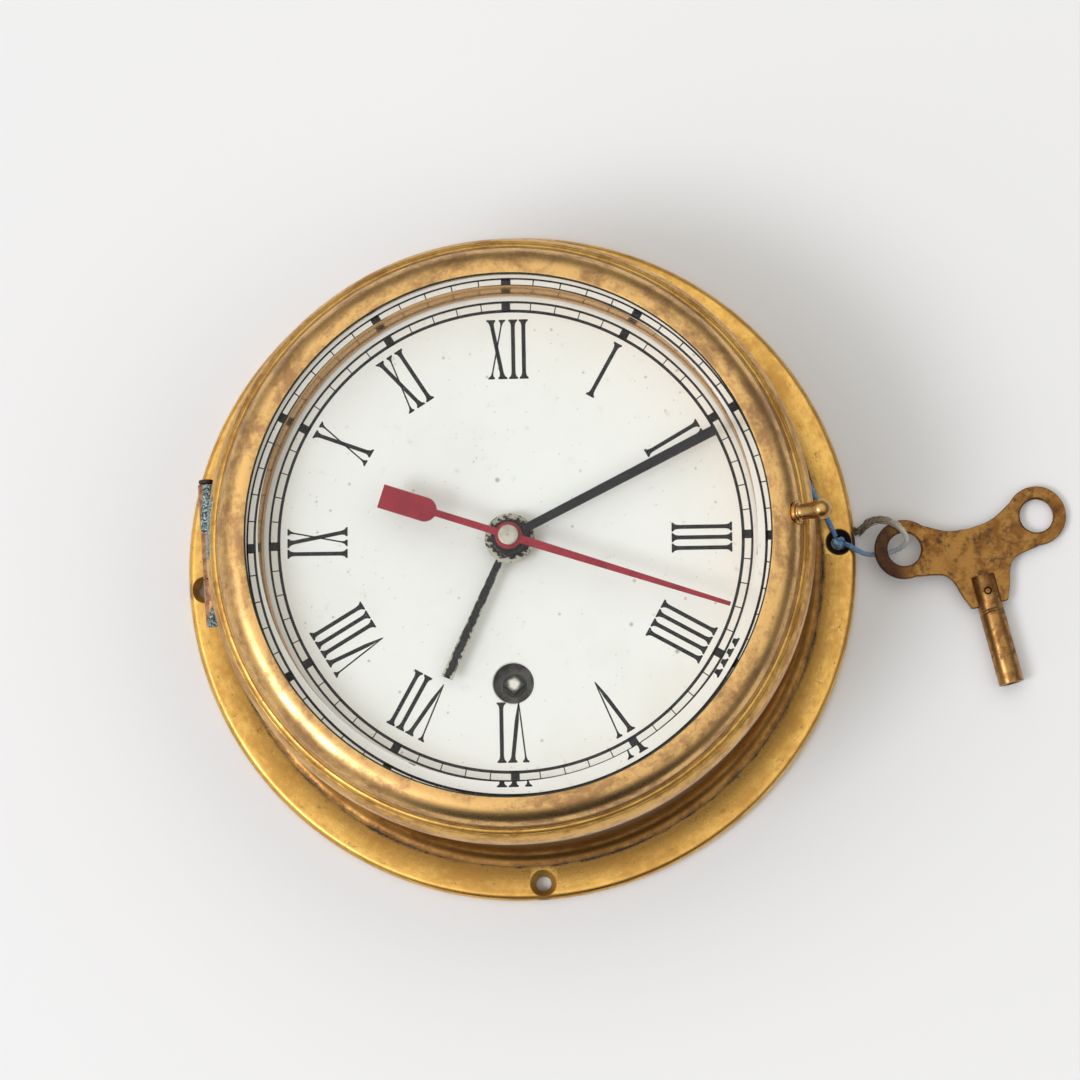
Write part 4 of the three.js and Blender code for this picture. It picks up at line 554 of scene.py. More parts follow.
def key_finish(name, bright, dull, brown, stained):
    """Rubbed brass with brown stains, darkest on the ring that the string is tied to."""
    f = Finish(name)
    at = f.frame(KEY_TURN, KEY_AT)
    x = f.parts(at)[0]
    cloud = f.noise(at, 4.5, 6, 0.66, 0.4)
    fine = f.noise(at, 0.7, 4, 0.6)
    patina = f.step(cloud, 0.42, 0.62)
    tied = f.step(x + cloud * 9, -12.5, -18.5)
    stain = f.step(f.noise(at, 3.4, 10, 0.82), 0.5, 0.62) * stained
    spots = f.dots(at, 1.5, 0.2, 0.3)
    rust = stain.most(tied * 0.92).most(spots * 0.9)
    brown = f.mix(f.step(f.noise(at, 1.5, 7, 0.75), 0.42, 0.6), brown, tone(50, 29, 18))
    colour = f.mix(rust, f.mix(patina, bright, dull), brown)
    f.set(Base_Color=colour, Metallic=1 - rust * 0.45)
    f.set(Roughness=0.3 + patina * 0.1 + rust * 0.22 + fine * 0.06)
    return f.bump(fine * 0.3 - spots * 0.5 - stain * 0.2, 0.06, 0.6).material


key_brass = key_finish("key_brass", tone(158, 116, 62), tone(128, 88, 46), tone(84, 50, 28), 0.75)
barrel_brass = key_finish("barrel_brass", tone(172, 130, 78), tone(138, 96, 54), tone(80, 48, 28), 0.8)
hinge_brass = hinge_finish()


def metal_finish(name, colour, other, rough):
    """Plain worked metal: slow drift between two tones and fine scratches."""
    f = Finish(name, Metallic=1.0)
    at = f.frame()
    fine = f.noise(f.frame(stretch=(6, 0.6, 6)), 1.0, 3, 0.6)
    drift = f.step(f.noise(at, 4, 4, 0.6), 0.35, 0.65)
    f.set(Base_Color=f.mix(drift, colour, other), Roughness=rough + fine * 0.12)
    return f.bump(fine, 0.01, 0.4).material


steel = metal_finish("steel", tone(186, 186, 184), tone(150, 148, 144), 0.24)
dark_steel = metal_finish("dark_steel", tone(96, 94, 90), tone(60, 56, 52), 0.34)
blue_steel = metal_finish("blue_steel", tone(58, 70, 100), tone(44, 52, 78), 0.25)
boss_steel = metal_finish("boss_steel", tone(184, 180, 168), tone(160, 154, 142), 0.44)


def glass_finish():
    """Clear glass with a trace of green; lamps and the light of the room pass straight through it."""
    f = Finish("clear_glass", Base_Color=(0.99, 0.996, 0.992, 1), Roughness=0.0, IOR=1.52,
               Transmission_Weight=1.0, Specular_Tint=(0.3, 0.3, 0.3, 1))
    through = f.node("ShaderNodeBsdfTransparent", {}, {"Color": (0.99, 0.993, 0.99, 1)})
    seen = Wire(f.tree, f.shader.outputs[0])
    for ray in ("Is Diffuse Ray", "Is Shadow Ray"):
        hit = f.node("ShaderNodeLightPath", out=ray)
        seen = f.node("ShaderNodeMixShader", {}, {0: hit, 1: seen, 2: through})
    plug(f.tree, f.end.inputs[0], seen)
    return f.material


def square_finish():
    """The winding square: bright where the key has rubbed its end, and painted dark round it as the shade
    down in the winding hole.
    """
    f = Finish("rubbed_steel")
    at = f.frame(centre=WINDING_AT)
    x, y, _ = f.parts(at)
    rubbed = f.step((x * x + y * y) ** 0.5 + f.noise(at, 0.8, 4) * 1.2, 2.6, 1.4)
    # the dark tone round the rubbed end is painted shade
    colour = f.mix(rubbed, tone(50, 50, 44), tone(214, 210, 198))
    return f.set(Base_Color=colour, Metallic=0.4 + rubbed * 0.6, Roughness=0.4 - rubbed * 0.1).material


def putty_finish():
    """Dark green putty in the joint between glass and lip."""
    f = Finish("putty", Roughness=0.6)
    return f.set(Base_Color=f.mix(f.noise(f.frame(), 2.5, 4), tone(22, 26, 20), tone(46, 66, 52))).material


def enamel_finish():
    """Off-white enamel with faint clouds, brown freckles and a few larger stains."""
    f = Finish("enamel", Specular_IOR_Level=0.4)
    at = f.frame()
    cloud = f.noise(at, 26, 5, 0.6)
    grey = f.step(cloud, 0.4, 0.72) * 0.5
    colour = f.mix(grey, tone(243, 245, 242), tone(234, 237, 230))
    freckle = (f.dots(at, 1.7, 0.26, 0.22) * 0.4).most(f.dots(at, 4.2, 0.55, 0.36) * 0.45)
    speck = f.dots(at, 11, 0.9, 0.32) * 0.6
    blot = f.step(f.noise(at, 4.0, 7, 0.75), 0.6, 0.74) * 0.55
    colour = f.mix(freckle.most(speck), colour, tone(134, 118, 88))
    colour = f.mix(blot, colour, tone(196, 194, 172))
    f.set(Base_Color=colour, Roughness=0.3 + grey * 0.2)
    return f.bump(f.noise(at, 9, 3), 0.03, 0.3).material


def print_finish():
    """Black print with pinholes and worn specks."""
    f = Finish("dial_black", Roughness=0.5, Specular_IOR_Level=0.2)
    at = f.frame()
    hole = f.dots(at, 1.1, 0.13, 0.3) * 0.75
    fade = f.noise(at, 3, 4)
    colour = f.mix(f.step(fade, 0.4, 0.7), tone(22, 22, 24), tone(38, 38, 40))
    return f.set(Base_Color=f.mix(hole, colour, tone(186, 186, 178))).material


def hand_paint(name, angle, half, hub, coats, under, chips, wear=0.0):
    """Paint on a hand, chipped along the blade's edges and round the hub's rim down to the metal."""
    f = Finish(name, Specular_IOR_Level=0.2)
    at = f.frame(-np.radians(angle))
    x, y, _ = f.parts(at)
    radius = (x * x + y * y) ** 0.5
    blade = f.step(radius, hub - 0.1, hub + 0.3)
    edge = blade * f.step(abs(x), half * 0.4, half) + (1 - blade) * f.step(radius, hub * 0.6, hub)
    flake = f.noise(at, 1.1, 6, 0.7) + edge * 0.24 + (f.noise(at, 4, 2) - 0.5) * wear
    bare = f.step(flake, chips, chips + 0.03)
    colour = f.mix(f.step(f.noise(at, 5, 4), 0.4, 0.65), *coats)
    f.set(Base_Color=f.mix(bare, colour, under), Roughness=0.42 + bare * 0.1)
    return f.bump(1 - bare, 0.05, 0.8).material


BLACKS = (tone(24, 24, 26), tone(36, 36, 38))
REDS = (tone(158, 38, 54), tone(138, 30, 46))
hour_paint = hand_paint(
    "hour_paint", HOUR_ANGLE, 1.3, HOUR_HUB, BLACKS, tone(190, 187, 167), chips=0.65, wear=0.3)
minute_paint = hand_paint(
    "minute_paint", MINUTE_ANGLE, 1.25, MINUTE_HUB, BLACKS, tone(150, 148, 140), chips=0.8)
seconds_paint = hand_paint(
    "seconds_paint", SECONDS_ANGLE, PADDLE, SECONDS_HUB, REDS, tone(196, 120, 120), chips=0.84)


def string_finish(name, stops):
    """Twisted yarn whose colour changes along its length, with paler loose fibres."""
    f = Finish(name, Roughness=0.9, Specular_IOR_Level=0.15, Sheen_Weight=0.3)
    at = f.frame()
    along = f.node("ShaderNodeAttribute", {"attribute_name": "along"}, out="Fac")
    lay = f.node("ShaderNodeAttribute", {"attribute_name": "lay"}, out="Fac")
    colour = stops[0][1]
    for place, shown in stops[1:]:
        colour = f.mix(f.step(along, place - 0.12, place + 0.12), colour, shown)
    strand = f.line_noise(lay * 9, 1.0, 2)
    fibre = f.step(f.noise(at, 0.35, 4, 0.7) * 0.6 + strand * 0.4, 0.5, 0.62)
    colour = f.mix(fibre * 0.45, colour, tone(226, 226, 222))
    colour = f.mix(f.step(strand, 0.45, 0.3) * 0.4, colour, tone(62, 74, 88))
    f.set(Base_Color=colour)
    return f.bump(strand * 0.6 + fibre * 0.4, 0.12, 0.8).material


BLUE = tone(86, 138, 194)
PALE_BLUE = tone(140, 160, 178)
FIBRE_WHITE = tone(214, 214, 208)
DRAB = tone(138, 122, 98)
key_yarn = string_finish("key_yarn", [
    (0.0, BLUE), (0.14, PALE_BLUE), (0.3, tone(172, 184, 192)), (0.5, FIBRE_WHITE), (0.66, DRAB),
    (0.85, tone(92, 78, 60))])
# The tail grows paler towards the bezel: its blue dye, with painted highlight on the upper part.
tail_yarn = string_finish("tail_yarn", [
    (0.0, BLUE), (0.3, tone(98, 152, 206)), (0.6, tone(136, 186, 222))])
frayed_yarn = string_finish("frayed_yarn", [
    (0.0, tone(196, 188, 174)), (0.35, tone(146, 126, 98)), (0.75, tone(88, 72, 54))])


# Strings

STRING = 0.7  # radius
STRAND_PITCH = 4.2
YARN_SHARP = 80  # edges of a yarn below this angle are shaded smooth
KEY_ROUTE = [
    (89.2, 3.6, 5.1), (90.3, 3.0, 6.05), (91.6, 2.2, 6.15), (93.0, 1.4, 5.7), (94.5, 0.9, 4.8),
    (96.2, 0.7, 3.8), (98.2, 0.8, 3.4), (100.4, 1.1, 3.3), (102.3, 1.5, 3.7), (104.0, 2.1, 4.8),
    (105.4, 3.1, 5.9), (106.0, 4.4, 6.9), (105.3, 6.1, 7.3), (104.0, 7.7, 7.3), (102.5, 8.8, 7.2),
    (100.8, 9.6, 6.7), (98.6, 9.9, 5.8), (96.4, 9.6, 4.7), (94.5, 8.9, 3.5), (93.4, 8.1, 2.5),
    (92.7, 7.5, 1.7), (91.9, 7.0, 1.05)]
TAIL_ROUTE = [
    (86.5, 5.9, 5.3), (85.9, 7.3, 6.15), (85.0, 9.3, 6.3), (83.9, 11.8, 6.35), (82.6, 14.4, 6.7),
    (81.2, 17.0, 7.1), (79.9, 19.8, 7.2), (78.6, 22.8, 7.25), (77.3, 26.0, 7.3), (75.9, 29.3, 7.35),
    (74.4, 32.6, 7.35), (72.8, 35.9, 7.35)]


def yarn(path, radius=STRING, sides=30):
    """Three strands twisted along a path.

    The section's radius dips at three places, which turn with the way gone.
    """
    tangent = np.gradient(path, axis=0)
    tangent /= np.linalg.norm(tangent, axis=1, keepdims=True)
    side = np.cross(tangent, (0, 0, 1))
    side /= np.linalg.norm(side, axis=1, keepdims=True)
    up = np.cross(side, tangent)
    gone = np.concatenate([[0], np.cumsum(np.linalg.norm(np.diff(path, axis=0), axis=1))])
    a = np.linspace(0, 2 * np.pi, sides, endpoint=False)
    lay = a[None, :] - 2 * np.pi * gone[:, None] / STRAND_PITCH
    reach = radius * (0.8 + 0.2 * np.abs(np.cos(1.5 * lay)) ** 0.6)[..., None]
    spokes = np.cos(a)[None, :, None] * side[:, None] + np.sin(a)[None, :, None] * up[:, None]
    values = {"along": np.repeat(gone / gone[-1], sides), "lay": (lay / (2 * np.pi)).ravel()}
    return loft(path[:, None] + reach * spokes), values, gone[-1] * MM


def string_piece(name, route, finish, steps=8):
    """A string along its route, riding on the case in place of the node of the same name."""
    path = smooth(route, steps)
    shape, values, length = yarn(path)
    piece = settle(raw(name + "_yarn", shape, values), "case", "string", finish, name, sharp=YARN_SHARP)
    return piece, path, length


key_line, key_path, key_length = string_piece("key_string", KEY_ROUTE, key_yarn)
tail_line, tail_path, tail_length = string_piece("string_tail", TAIL_ROUTE, tail_yarn)


def fibres(path, count):
    """Loose strands beside a path: each keeps to one side, waves, and strays further towards its end."""
    way = np.linspace(0, 1, len(path))[:, None]
    side = np.cross(np.gradient(path, axis=0), (0, 0, 1))
    side /= np.linalg.norm(side, axis=1, keepdims=True)
    shapes, values = [], []
    for number in range(count):
        turn_by = 2.4 * number
        stray = (0.6 + 0.8 * way) * np.sin(turn_by + 5 * way * (1 + number % 3)) * side
        rise = (0.35 + 0.3 * way) * np.cos(turn_by + 7 * way) * np.array([0, 0, 1.0])
        shape, value, _ = yarn(path + stray + rise, 0.15 + 0.05 * (number % 3), 6)
        shapes.append(shape)
        values.append(value)
    return together(shapes), {key: np.concatenate([value[key] for value in values]) for key in values[0]}


FRAY_FROM, FRAY_TO = 96, -4  # points of the key string's path between which it is frayed
FIBRES = 8
frayed = raw("key_string_fibres", *fibres(key_path[FRAY_FROM:FRAY_TO], FIBRES))
settle(frayed, "case", "string", frayed_yarn, sharp=YARN_SHARP)

KNOT_PLACE, KNOT_SIZE = (87.395, 4.274, 4.2), 0.42
knot_turns = np.linspace(0, 2 * np.pi, 121)
knot_path = np.stack([
    np.sin(knot_turns) + 2 * np.sin(2 * knot_turns),
    np.cos(knot_turns) - 2 * np.cos(2 * knot_turns),
    -1.6 * np.sin(3 * knot_turns)], -1) * KNOT_SIZE + KNOT_PLACE
knot_shape, knot_values, _ = yarn(knot_path, 0.62, 18)
knot = raw("string_knot_yarn", knot_shape, knot_values)
settle(knot, "case", "string", tail_yarn, "string_knot", sharp=YARN_SHARP)


# Case

FLANGE = eased(np.vstack([
    [(79.4, 0), (89.6, 0), (92, 2.4)], arc((90.2, 3.2), 1.8, 1.8, 0, 90, 6), [(79.4, 5)]]), 0.25, 2)
flange = raw("flange_ring", turned(FLANGE))
screw_hole = turned([(0, -UNDER), (2.1, -UNDER), (2.1, 3.4), (4.7, 6), (0, 6)], SMALL_ROUND)
hole_bearings = CASE_TURN + np.arange(4) * np.pi / 2
carve(flange, [moved(screw_hole, HOLE_CIRCLE * np.cos(a), HOLE_CIRCLE * np.sin(a)) for a in hole_bearings])
settle(flange, "case", "golden_brass", flange_brass, "mounting_flange")

DRUM = eased(np.vstack([
    [(76.5, 2.8), (79.1, 2.8), (79.1, 5.3), (82.8, 5.3)], arc((82.8, 12), 4.8, 6.2, -90, -180, 14),
    [(78, 57.5), (76.5, 57.5)]]), 0.2, 2)
HINGE_X, HINGE_Z = -80.1, 56
HINGE_LOW, HINGE_HIGH, MIDDLE = -16.6, 21.4, (-3.8, 8.6)  # ends along Y, and those of its middle knuckle
HINGE_GAP = 0.4
notch_low, notch_high = HINGE_LOW - HINGE_GAP, HINGE_HIGH + HINGE_GAP
notch = turned([(0, notch_low), (2.6, notch_low), (2.6, notch_high), (0, notch_high)], BORE_ROUND)
drum = raw("drum_wall", turned(DRUM))
carve(drum, [spun(on_y(notch, HINGE_X, HINGE_Z), CASE_TURN)])
settle(drum, "case", "aged_brass", shaded_drum_brass, "case_drum")

POSTS = [(45.03, 26.0), (-45.03, 26.0), (0.0, -52.0)]
back = raw("back_cover", turned(eased([(0, 0), (79.1, 0), (79.1, 2.5), (0, 2.5)], 0.4)))
back_hole = turned([(0, -UNDER), (2.9, -UNDER), (2.9, 1.7), (1.5, 1.7), (1.5, 3.5), (0, 3.5)], PIN_ROUND)
carve(back, [moved(back_hole, x, y) for x, y in POSTS])
settle(back, "case", "golden_brass", back_brass, "back_plate")
SCREW = eased([(0, 0.3), (2.6, 0.3), (2.6, 1.7), (1.2, 1.7), (1.2, 6.7), (0, 6.7)], 0.3)
SCREW_SLOT = box((-4, -0.35, -UNDER), (4, 0.35, 1.0))
for number, (x, y) in enumerate(POSTS, 1):
    screw = raw(f"back_screw_head_{number}", moved(turned(SCREW, PIN_ROUND), x, y))
    carve(screw, [moved(spun(SCREW_SLOT, 0.5 + number), x, y)])
    settle(screw, "case", "steel", steel, f"back_screw_{number}")

# Bezel, glass and retaining ring

BEAD = arc((77.4, 60), 3.2, 8, 0, 90, 44)
BEAD[:, 1] -= 0.25 * np.exp(-((BEAD[:, 0] - LINE_RADIUS) / 0.16) ** 2)  # the fine line, turned in
OVOLO = arc((70.1, 69), 6.6, 5, 0, 90, 22)
BEZEL = eased(np.vstack([
    [(70.9, 57.8), (73.2, 57.8), (73.2, 54.8), (74.8, 54.8), (74.8, 57.8), (80.2, 57.8), (80.6, 58.2)],
    BEAD, [(77.1, 68.8)], OVOLO, [(69.3, 74), (69.3, 73.2), (70.9, 72.08)]]), 0.1, 2)
KNOB_AT, KNOB_TILT = (75.454, 0, 70.603), np.radians(60)
case_spin = Matrix.Rotation(CASE_TURN, 4, "Z")
knob_seat = case_spin @ Matrix.Translation(KNOB_AT) @ Matrix.Rotation(KNOB_TILT, 4, "Y")
collar_seat = placed(turned([(0, 0.1), (3.2, 0.1), (3.2, 12), (0, 12)], SMALL_ROUND), knob_seat)
hinge_room = spun(box((-90, -17, 40), (-74.3, 21.8, 59.2)), CASE_TURN)
bezel = raw("bezel_moulding", turned(BEZEL))
carve(bezel, [hinge_room, collar_seat])
settle(bezel, "bezel", "aged_brass", bezel_brass, "bezel_ring")

GLASS_RADIUS, GLASS_UNDER = 70.6, 70.99
GLASS = [(0, GLASS_UNDER), (GLASS_RADIUS, GLASS_UNDER), (GLASS_RADIUS, 71.99), (65.4, 75.98), (0, 75.98)]
settle(raw("bevelled_glass", turned(GLASS)), "bezel", "glass", glass_finish(), "bezel_glass", sharp=20)

PUTTY = [(68.9, 73.36), (69.35, 73.3), (69.35, 72.98), (68.95, 73.28)]
settle(raw("glass_putty", turned(PUTTY)), "bezel", "black_paint", putty_finish())

FLARE = smooth([(69.3, GLASS_UNDER), (66.9, 64.0), (65.4, 58.1)], 10)
RETAINER = eased(np.vstack([[(GLASS_RADIUS, 58.1), (GLASS_RADIUS, GLASS_UNDER)], FLARE]), 0.1, 2)
retainer = raw("retaining_ring", turned(RETAINER))
settle(retainer, "bezel", "golden_brass", polished_brass, "glass_retaining_ring")

# Hinge

KNUCKLE_BORE, KNUCKLE_RADIUS = 1.25, 2.2
LEAF_RADIUS = 80.4


def knuckle_barrel(low, high):
    """A hinge knuckle: a rounded tube along the pin."""
    inner, outer = KNUCKLE_BORE, KNUCKLE_RADIUS
    section = eased([(inner, low), (outer, low), (outer, high), (inner, high)], 0.25)
    return spun(on_y(turned(section, PIN_ROUND), HINGE_X, HINGE_Z), CASE_TURN)


def bent_leaf():
    """The case leaf: its section carried round the drum between the hinge's ends."""
    section = eased([(78.3, 42.9), (LEAF_RADIUS, 42.9), (LEAF_RADIUS, 54.9), (78.3, 54.9)], 0.3, 2)
    ends = np.pi - np.arcsin(np.array([HINGE_HIGH, HINGE_LOW]) / LEAF_RADIUS)
    a = np.linspace(*ends, 40)[:, None]
    return loft(np.stack([section[:, 0] * np.cos(a), section[:, 0] * np.sin(a), section[:, 1] + 0 * a], -1))


leaf = raw("hinge_leaf", spun(bent_leaf(), CASE_TURN))
knuckles = [(HINGE_LOW, MIDDLE[0] - HINGE_GAP), (MIDDLE[1] + HINGE_GAP, HINGE_HIGH)]
carve(leaf, [knuckle_barrel(*ends) for ends in knuckles], "UNION")
settle(leaf, "case", "aged_brass", hinge_brass, "hinge_case_leaf")
ROOT, SHOULDER = -74.6, -77.5  # X of the tongue's root and of its shoulders
TONGUE = [
    (ROOT, HINGE_LOW), (ROOT, HINGE_HIGH), (SHOULDER, HINGE_HIGH), (SHOULDER, MIDDLE[1]),
    (HINGE_X, MIDDLE[1]), (HINGE_X, MIDDLE[0]), (SHOULDER, MIDDLE[0]), (SHOULDER, HINGE_LOW)]
tongue = raw("hinge_tongue", spun(plate(TONGUE, 57.9, 58.9, 0.15), CASE_TURN))
carve(tongue, [knuckle_barrel(*MIDDLE)], "UNION")
settle(tongue, "bezel", "aged_brass", hinge_brass, "hinge_bezel_leaf")
PIN = eased([(0, HINGE_LOW), (1.1, HINGE_LOW), (1.1, 21.7), (1.9, 21.7), (1.9, 22.7), (0, 22.7)], 0.2)
rod = raw("hinge_rod", spun(on_y(turned(PIN, PIN_ROUND), HINGE_X, HINGE_Z), CASE_TURN))
settle(rod, "case", "brown_brass", hinge_brass, "hinge_pin")

# Pull knob

KNOB = np.vstack([
    [(0, -3), (1.2, -3), (1.2, 0.3), (2.9, 0.3)], arc((2.65, 0.85), 0.45, 0.45, -40, 90, 7),
    arc((2.3, 1.6), 0.3, 0.35, -60, 90, 6),
    smooth([(2.16, 2.2), (2.1, 3.2), (2.3, 5.4), (2.7, 7.2), (2.8, 7.7)], 5),
    arc((0, 7.7), 2.8, 2.8, 5, 90, 12)])
knob = raw("pull_knob", placed(turned(KNOB, SMALL_ROUND), knob_seat))
settle(knob, "bezel", "brown_brass", knob_brass, "bezel_knob", sharp=50)

# Dial and its print

DIAL_TOP = 57.5
INK = (DIAL_TOP - 0.03, DIAL_TOP + 0.04)
DIAL = eased([(4.6, 56.5), (72.6, 56.5), (72.6, DIAL_TOP), (4.6, DIAL_TOP)], 0.15, 2)
dial = raw("dial_plate", turned(DIAL))
winding_hole = turned([(0, 50), (5.4, 50), (5.4, 57.2), (6.4, 58.2), (0, 58.2)], SMALL_ROUND)
carve(dial, [moved(winding_hole, *WINDING_AT)])
settle(dial, "case", "enamel", enamel_finish(), "dial")

NUMERAL_FOOT, NUMERAL_HEAD = 43.0, 59.0
TALL = NUMERAL_HEAD - NUMERAL_FOOT
THICK, THIN, POINT = (0.53, 1.2), (0.2, 0.85), 0.12  # half widths of a stroke and of its serifs
SLAB, BRACKET = 0.42, 1.5
LEG_GAP = 2.8  # between neighbouring strokes


def stroke(foot, head, weight, pointed=False):
    """One stroke of a numeral: a bar with bracketed serifs, sheared so that it leans from foot to head."""
    half, serif = weight
    swell = np.array([1, 1, 0.38, 0.1, 0])
    rise = np.array([0, SLAB, SLAB + 0.22 * BRACKET, SLAB + 0.6 * BRACKET, SLAB + BRACKET])
    across = half + (serif - half) * swell
    low = (np.array([POINT, half]), np.array([0, 0.3 * TALL])) if pointed else (across, rise)
    wide = np.concatenate([low[0], across[::-1]])
    tall = np.concatenate([low[1], TALL - rise[::-1]])
    y = np.concatenate([tall, tall[::-1]])
    x = np.concatenate([wide, -wide[::-1]]) + foot + (head - foot) * y / TALL
    return np.stack([x, y + NUMERAL_FOOT], -1)


# Half the width of each sign and its strokes; A is the V of six to eight, with its heavy leg on the right
SIGNS = {
    "I": (0.0, [(0, 0, THICK)]),
    "V": (1.8, [(0, -1.8, THICK, True), (0, 1.8, THIN, True)]),
    "A": (1.8, [(0, -1.8, THIN, True), (0, 1.8, THICK, True)]),
    "X": (1.55, [(1.55, -1.55, THICK), (-1.55, 1.55, THIN)])}
# How far each numeral sits off its mark, in degrees and millimetres
PRINT_SLIPS = [
    (0.2, 0.2), (-0.2, 0.8), (0.5, -0.4), (0.6, -0.4), (-0.3, 0.4), (0.7, 0.8),
    (0.2, 0.0), (-0.3, -1.0), (-0.5, -0.8), (0.8, 0.2), (1.6, 0.6), (-2.2, 0.2)]
HOURS = ["XII", "I", "II", "III", "IIII", "V", "AI", "AII", "AIII", "IX", "X", "XI"]


def numeral(signs):
    """A numeral's strokes set side by side about the Y axis."""
    halves = np.array([SIGNS[s][0] for s in signs])
    centres = np.cumsum(halves + np.roll(halves, 1) + LEG_GAP)
    centres -= (centres[0] - halves[0] + centres[-1] + halves[-1]) / 2
    for sign, centre in zip(signs, centres):
        for foot, head, *weight in SIGNS[sign][1]:
            yield plate(stroke(foot + centre, head + centre, *weight), *INK)


def mark(inner, outer, width):
    """A short bar of the minute track, across the Y axis."""
    return box((-width / 2, inner, INK[0]), (width / 2, outer, INK[1]))


def track_line(radius, width):
    """A printed circle."""
    low, high = radius - width / 2, radius + width / 2
    return turned([(low, INK[0]), (high, INK[0]), (high, INK[1]), (low, INK[1])])


TRACK_INNER, TRACK_OUTER = 61.5, 63.9
ink = [track_line(TRACK_INNER, 0.8), track_line(TRACK_OUTER, 0.6)]
for minute in range(60):
    bar = mark(61.1, 64.2, 2.3) if minute % 5 == 0 else mark(TRACK_INNER, TRACK_OUTER, 0.27)
    ink.append(spun(bar, -2 * np.pi * minute / 60))
for hour, (signs, (lean, out)) in enumerate(zip(HOURS, PRINT_SLIPS)):
    angle = -np.radians(30 * hour + lean)
    ink += [spun(moved(shape, 0, out), angle) for shape in numeral(signs)]
settle(raw("dial_print", together(ink)), "case", "black_paint", print_finish())

# Hands

HAND_THICK, HAND_EASE = 0.8, 0.16


def hand_outline(hub, width, tip, length):
    """A hand along Y: the hub's circle, open where the blade leaves it, and the blade's two corners."""
    leave = np.degrees(np.arcsin(width / 2 / hub))
    hub_arc = arc((0, 0), hub, hub, 90 + leave, 450 - leave, 48)
    return np.vstack([hub_arc, [(tip / 2, length), (-tip / 2, length)]])


def hand(name, outline, low, angle, bore, body, slot, finish, node):
    """A hand with eased edges, bored for its pipe and set to its angle clockwise from twelve."""
    made = raw(name, spun(plate(outline, low, low + HAND_THICK, HAND_EASE), -np.radians(angle)))
    carve(made, [turned([(0, 50), (bore, 50), (bore, 75), (0, 75)], 48)])
    settle(made, body, slot, finish, node)


hand("hour_pointer", hand_outline(HOUR_HUB, 2.0, 3.1, 40.5), 61.5, HOUR_ANGLE, 3.5,
     "hour", "black_paint", hour_paint, "hour_hand")
hand("minute_pointer", hand_outline(MINUTE_HUB, 2.3, 2.7, 61.5), 64.2, MINUTE_ANGLE, 2.55,
     "minute", "black_paint", minute_paint, "minute_hand")

HUB_AT, PADDLE_AT = (0, 0), (0, -23.2)
SECONDS = np.vstack([
    arc(HUB_AT, SECONDS_HUB, SECONDS_HUB, 108, 255, 16), [(-0.9, -20.2)],
    arc(PADDLE_AT, PADDLE, PADDLE, 106, 180, 8), [(-PADDLE, -35.3), (PADDLE, -35.3)],
    arc(PADDLE_AT, PADDLE, PADDLE, 0, 74, 8), [(0.9, -20.2)],
    arc(HUB_AT, SECONDS_HUB, SECONDS_HUB, 285, 432, 16), [(0.55, 61), (-0.55, 61)]])
hand("seconds_pointer", SECONDS, 67.1, SECONDS_ANGLE, 1.45,
     "seconds", "red_paint", seconds_paint, "seconds_hand")

BOSS = np.vstack([
    [(1.05, 65.4), (1.9, 65.4), (1.9, 67.1), (1.3, 67.1), (1.3, 67.9), (2.55, 67.9)],
    arc((2.48, 68.9), 0.22, 0.5, 0, 90, 6), smooth([(2.4, 69.38), (1.2, 69.42), (0.4, 69.42)], 4)[1:],
    [(0.3, 69.25), (0, 69.2), (0, 68.2), (1.05, 68.2)]])
settle(raw("boss_cap", turned(BOSS, SMALL_ROUND)), "seconds", "steel", boss_steel, "seconds_boss", sharp=45)

# Winding key

KEY_PLACE = Matrix.Translation(KEY_AT) @ Matrix.Rotation(KEY_TURN, 4, "Z") @ Matrix.Rotation(KEY_TILT, 4, "Y")
RING_AT, PEG_AT = 18.85, -17  # across to each ring of the bow, and along to the cross pin
BOW_RING = arc((RING_AT, 0), 8.15, 8.15, 140, -99, 40)
WAIST = smooth(np.vstack([[(0, 1.1), (6.3, 2)], BOW_RING[:1]]), 12)
FLANK = smooth(np.vstack([BOW_RING[-1:], [(9.4, -10.2), (6.6, -17), (5.5, -19.6)]]), 10)
PRONG = arc((4.5, -19.6), 1.0, 1.0, -20, -90, 4)
half_bow = np.vstack([WAIST[:-1], BOW_RING, FLANK[1:], PRONG])
BOW = np.vstack([half_bow, half_bow[:0:-1] * (-1, 1)])[::-1]
bow = raw("key_plate", placed(plate(BOW, -0.9, 0.9, 0.22), KEY_PLACE))
ring_hole = turned([
    (0, -2), (5.4, -2), (5.4, -1.15), (4.65, -0.6), (4.65, 0.6), (5.4, 1.15), (5.4, 2), (0, 2)], 72)
peg_hole = moved(turned([(0, -5), (1.1, -5), (1.1, 5), (0, 5)], BORE_ROUND), 0, PEG_AT)
bow_holes = [moved(ring_hole, RING_AT, 0), moved(ring_hole, -RING_AT, 0), peg_hole]
carve(bow, [placed(shape, KEY_PLACE) for shape in bow_holes])
settle(bow, "case", "golden_brass", key_brass, "key_bow")

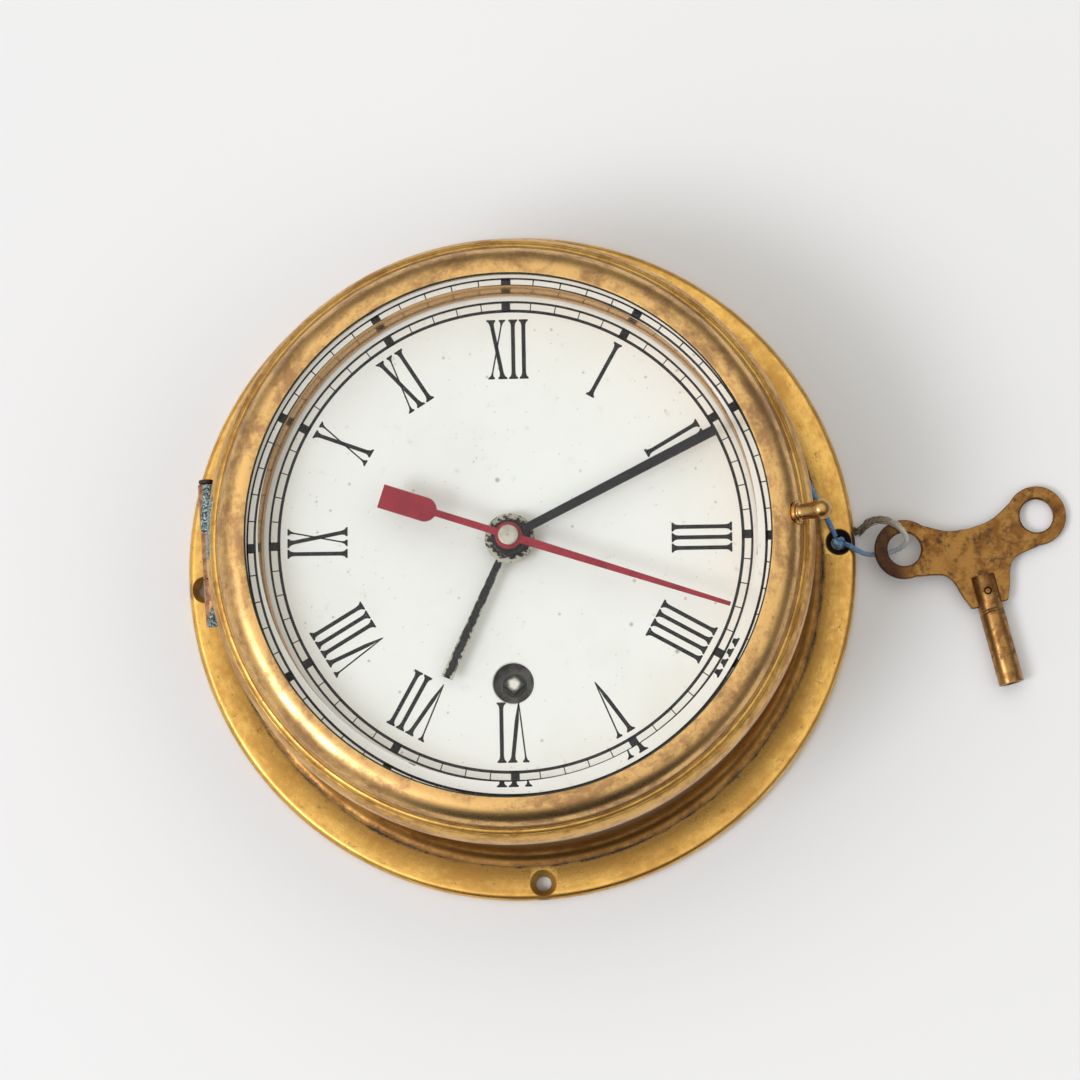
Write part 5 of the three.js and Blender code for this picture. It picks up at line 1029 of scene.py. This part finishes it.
GROOVES = [(3.45, -22.9), (3.3, -22.75), (3.45, -22.6), (3.45, -22.2), (3.3, -22.05), (3.45, -21.9)]
BARREL = eased([(0, -43), (3.45, -43), *GROOVES, (3.45, -12.3), (0, -12.3)], 0.3, 2)
barrel = raw("key_tube", placed(on_y(turned(BARREL, SMALL_ROUND)), KEY_PLACE))
SOCKET = 4.05 / 2
socket = placed(box((-SOCKET, -44, -SOCKET), (SOCKET, -30, SOCKET)), Matrix.Rotation(np.pi / 4, 4, "Y"))
slot_cut = box((-7, -20.9, -1.2), (7, 0, 1.2))
carve(barrel, [placed(shape, KEY_PLACE) for shape in (slot_cut, socket, peg_hole)])
settle(barrel, "case", "brown_brass", barrel_brass, "key_barrel")
PEG = eased([(0, -3.5), (0.8, -3.5), (0.8, 3.4), (0, 3.5)], 0.2)
peg = raw("key_peg", placed(moved(turned(PEG, BORE_ROUND), 0, PEG_AT), KEY_PLACE))
settle(peg, "case", "brown_brass", barrel_brass, "key_pin")

key_path[0] * MM
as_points(key_path * MM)
tail_path[0] * MM
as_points(tail_path * MM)

# Works, which keep their own shapes

WORKS = {"movement_brass": works_brass, "steel": dark_steel, "blue_steel": blue_steel}
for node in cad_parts.values():
    if node.hide_render:
        continue
    for holder in node.material_slots:
        holder.material = WORKS[holder.material.name]
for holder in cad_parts["winding_arbor"].material_slots:
    holder.material = square_finish()

# Floor and light

FLOOR, FLOOR_Z = 3000.0, -0.05
corners = [(-FLOOR, -FLOOR), (FLOOR, -FLOOR), (FLOOR, FLOOR), (-FLOOR, FLOOR)]
floor = raw("floor", (np.array([(x, y, FLOOR_Z) for x, y in corners]), [[0, 1, 2, 3]]))
paper = Finish("paper", Roughness=0.9, Specular_IOR_Level=0.1)
cloud = paper.noise(paper.frame(), 900, 2)
paper.set(Base_Color=paper.mix(cloud, (0.88, 0.88, 0.895, 1), (0.9, 0.9, 0.91, 1)))
floor.data.materials.append(paper.material)

LAMP_FROM = Vector((-1.52, -0.81, 2.45))
LAMP_SIZE, LAMP_WATTS, LAMP_COLOUR = 1.1, 22, (0.95, 0.98, 1.08)
lamp_data = bpy.data.lights.new("window", "AREA")
lamp_data.shape = "DISK"
lamp_data.size = LAMP_SIZE
lamp_data.energy = LAMP_WATTS
lamp_data.color = LAMP_COLOUR
lamp = bpy.data.objects.new("window", lamp_data)
lamp.location = LAMP_FROM
lamp.rotation_mode = "QUATERNION"
lamp.rotation_quaternion = LAMP_FROM.to_track_quat("Z", "Y")
bpy.context.scene.collection.objects.link(lamp)

world = bpy.data.worlds.new("studio")
bpy.context.scene.world = world
sky = Tree(world)
way = sky.node("ShaderNodeTexCoord", out="Generated")


def facing(x, y, z):
    """How far a direction of the room faces the given one, from -1 to 1."""
    unit = list(Vector((x, y, z)).normalized())
    return sky.node("ShaderNodeVectorMath", {"operation": "DOT_PRODUCT"}, {0: way, 1: unit}, out="Value")


ceiling = sky.step(facing(0, 0, 1), 0.42, 0.9) * 0.86
left_wall = sky.step(facing(-1, -0.3, 0.35), 0.3, 0.9) * 0.5
far_wall = sky.step(facing(0, 1, 0.25), 0.4, 0.95) * 0.05
dark_patch = sky.step(facing(0.1, -1, 0.4), 0.7, 0.95) * 0.88
room = (0.26 + ceiling + left_wall + far_wall) * (1 - dark_patch)
light = sky.node("ShaderNodeBackground", {}, {"Color": (1, 0.985, 0.94, 1), "Strength": room})
plug(sky.tree, sky.tree.nodes.new("ShaderNodeOutputWorld").inputs[0], light)

bpy.context.scene.view_settings.view_transform = "Standard"
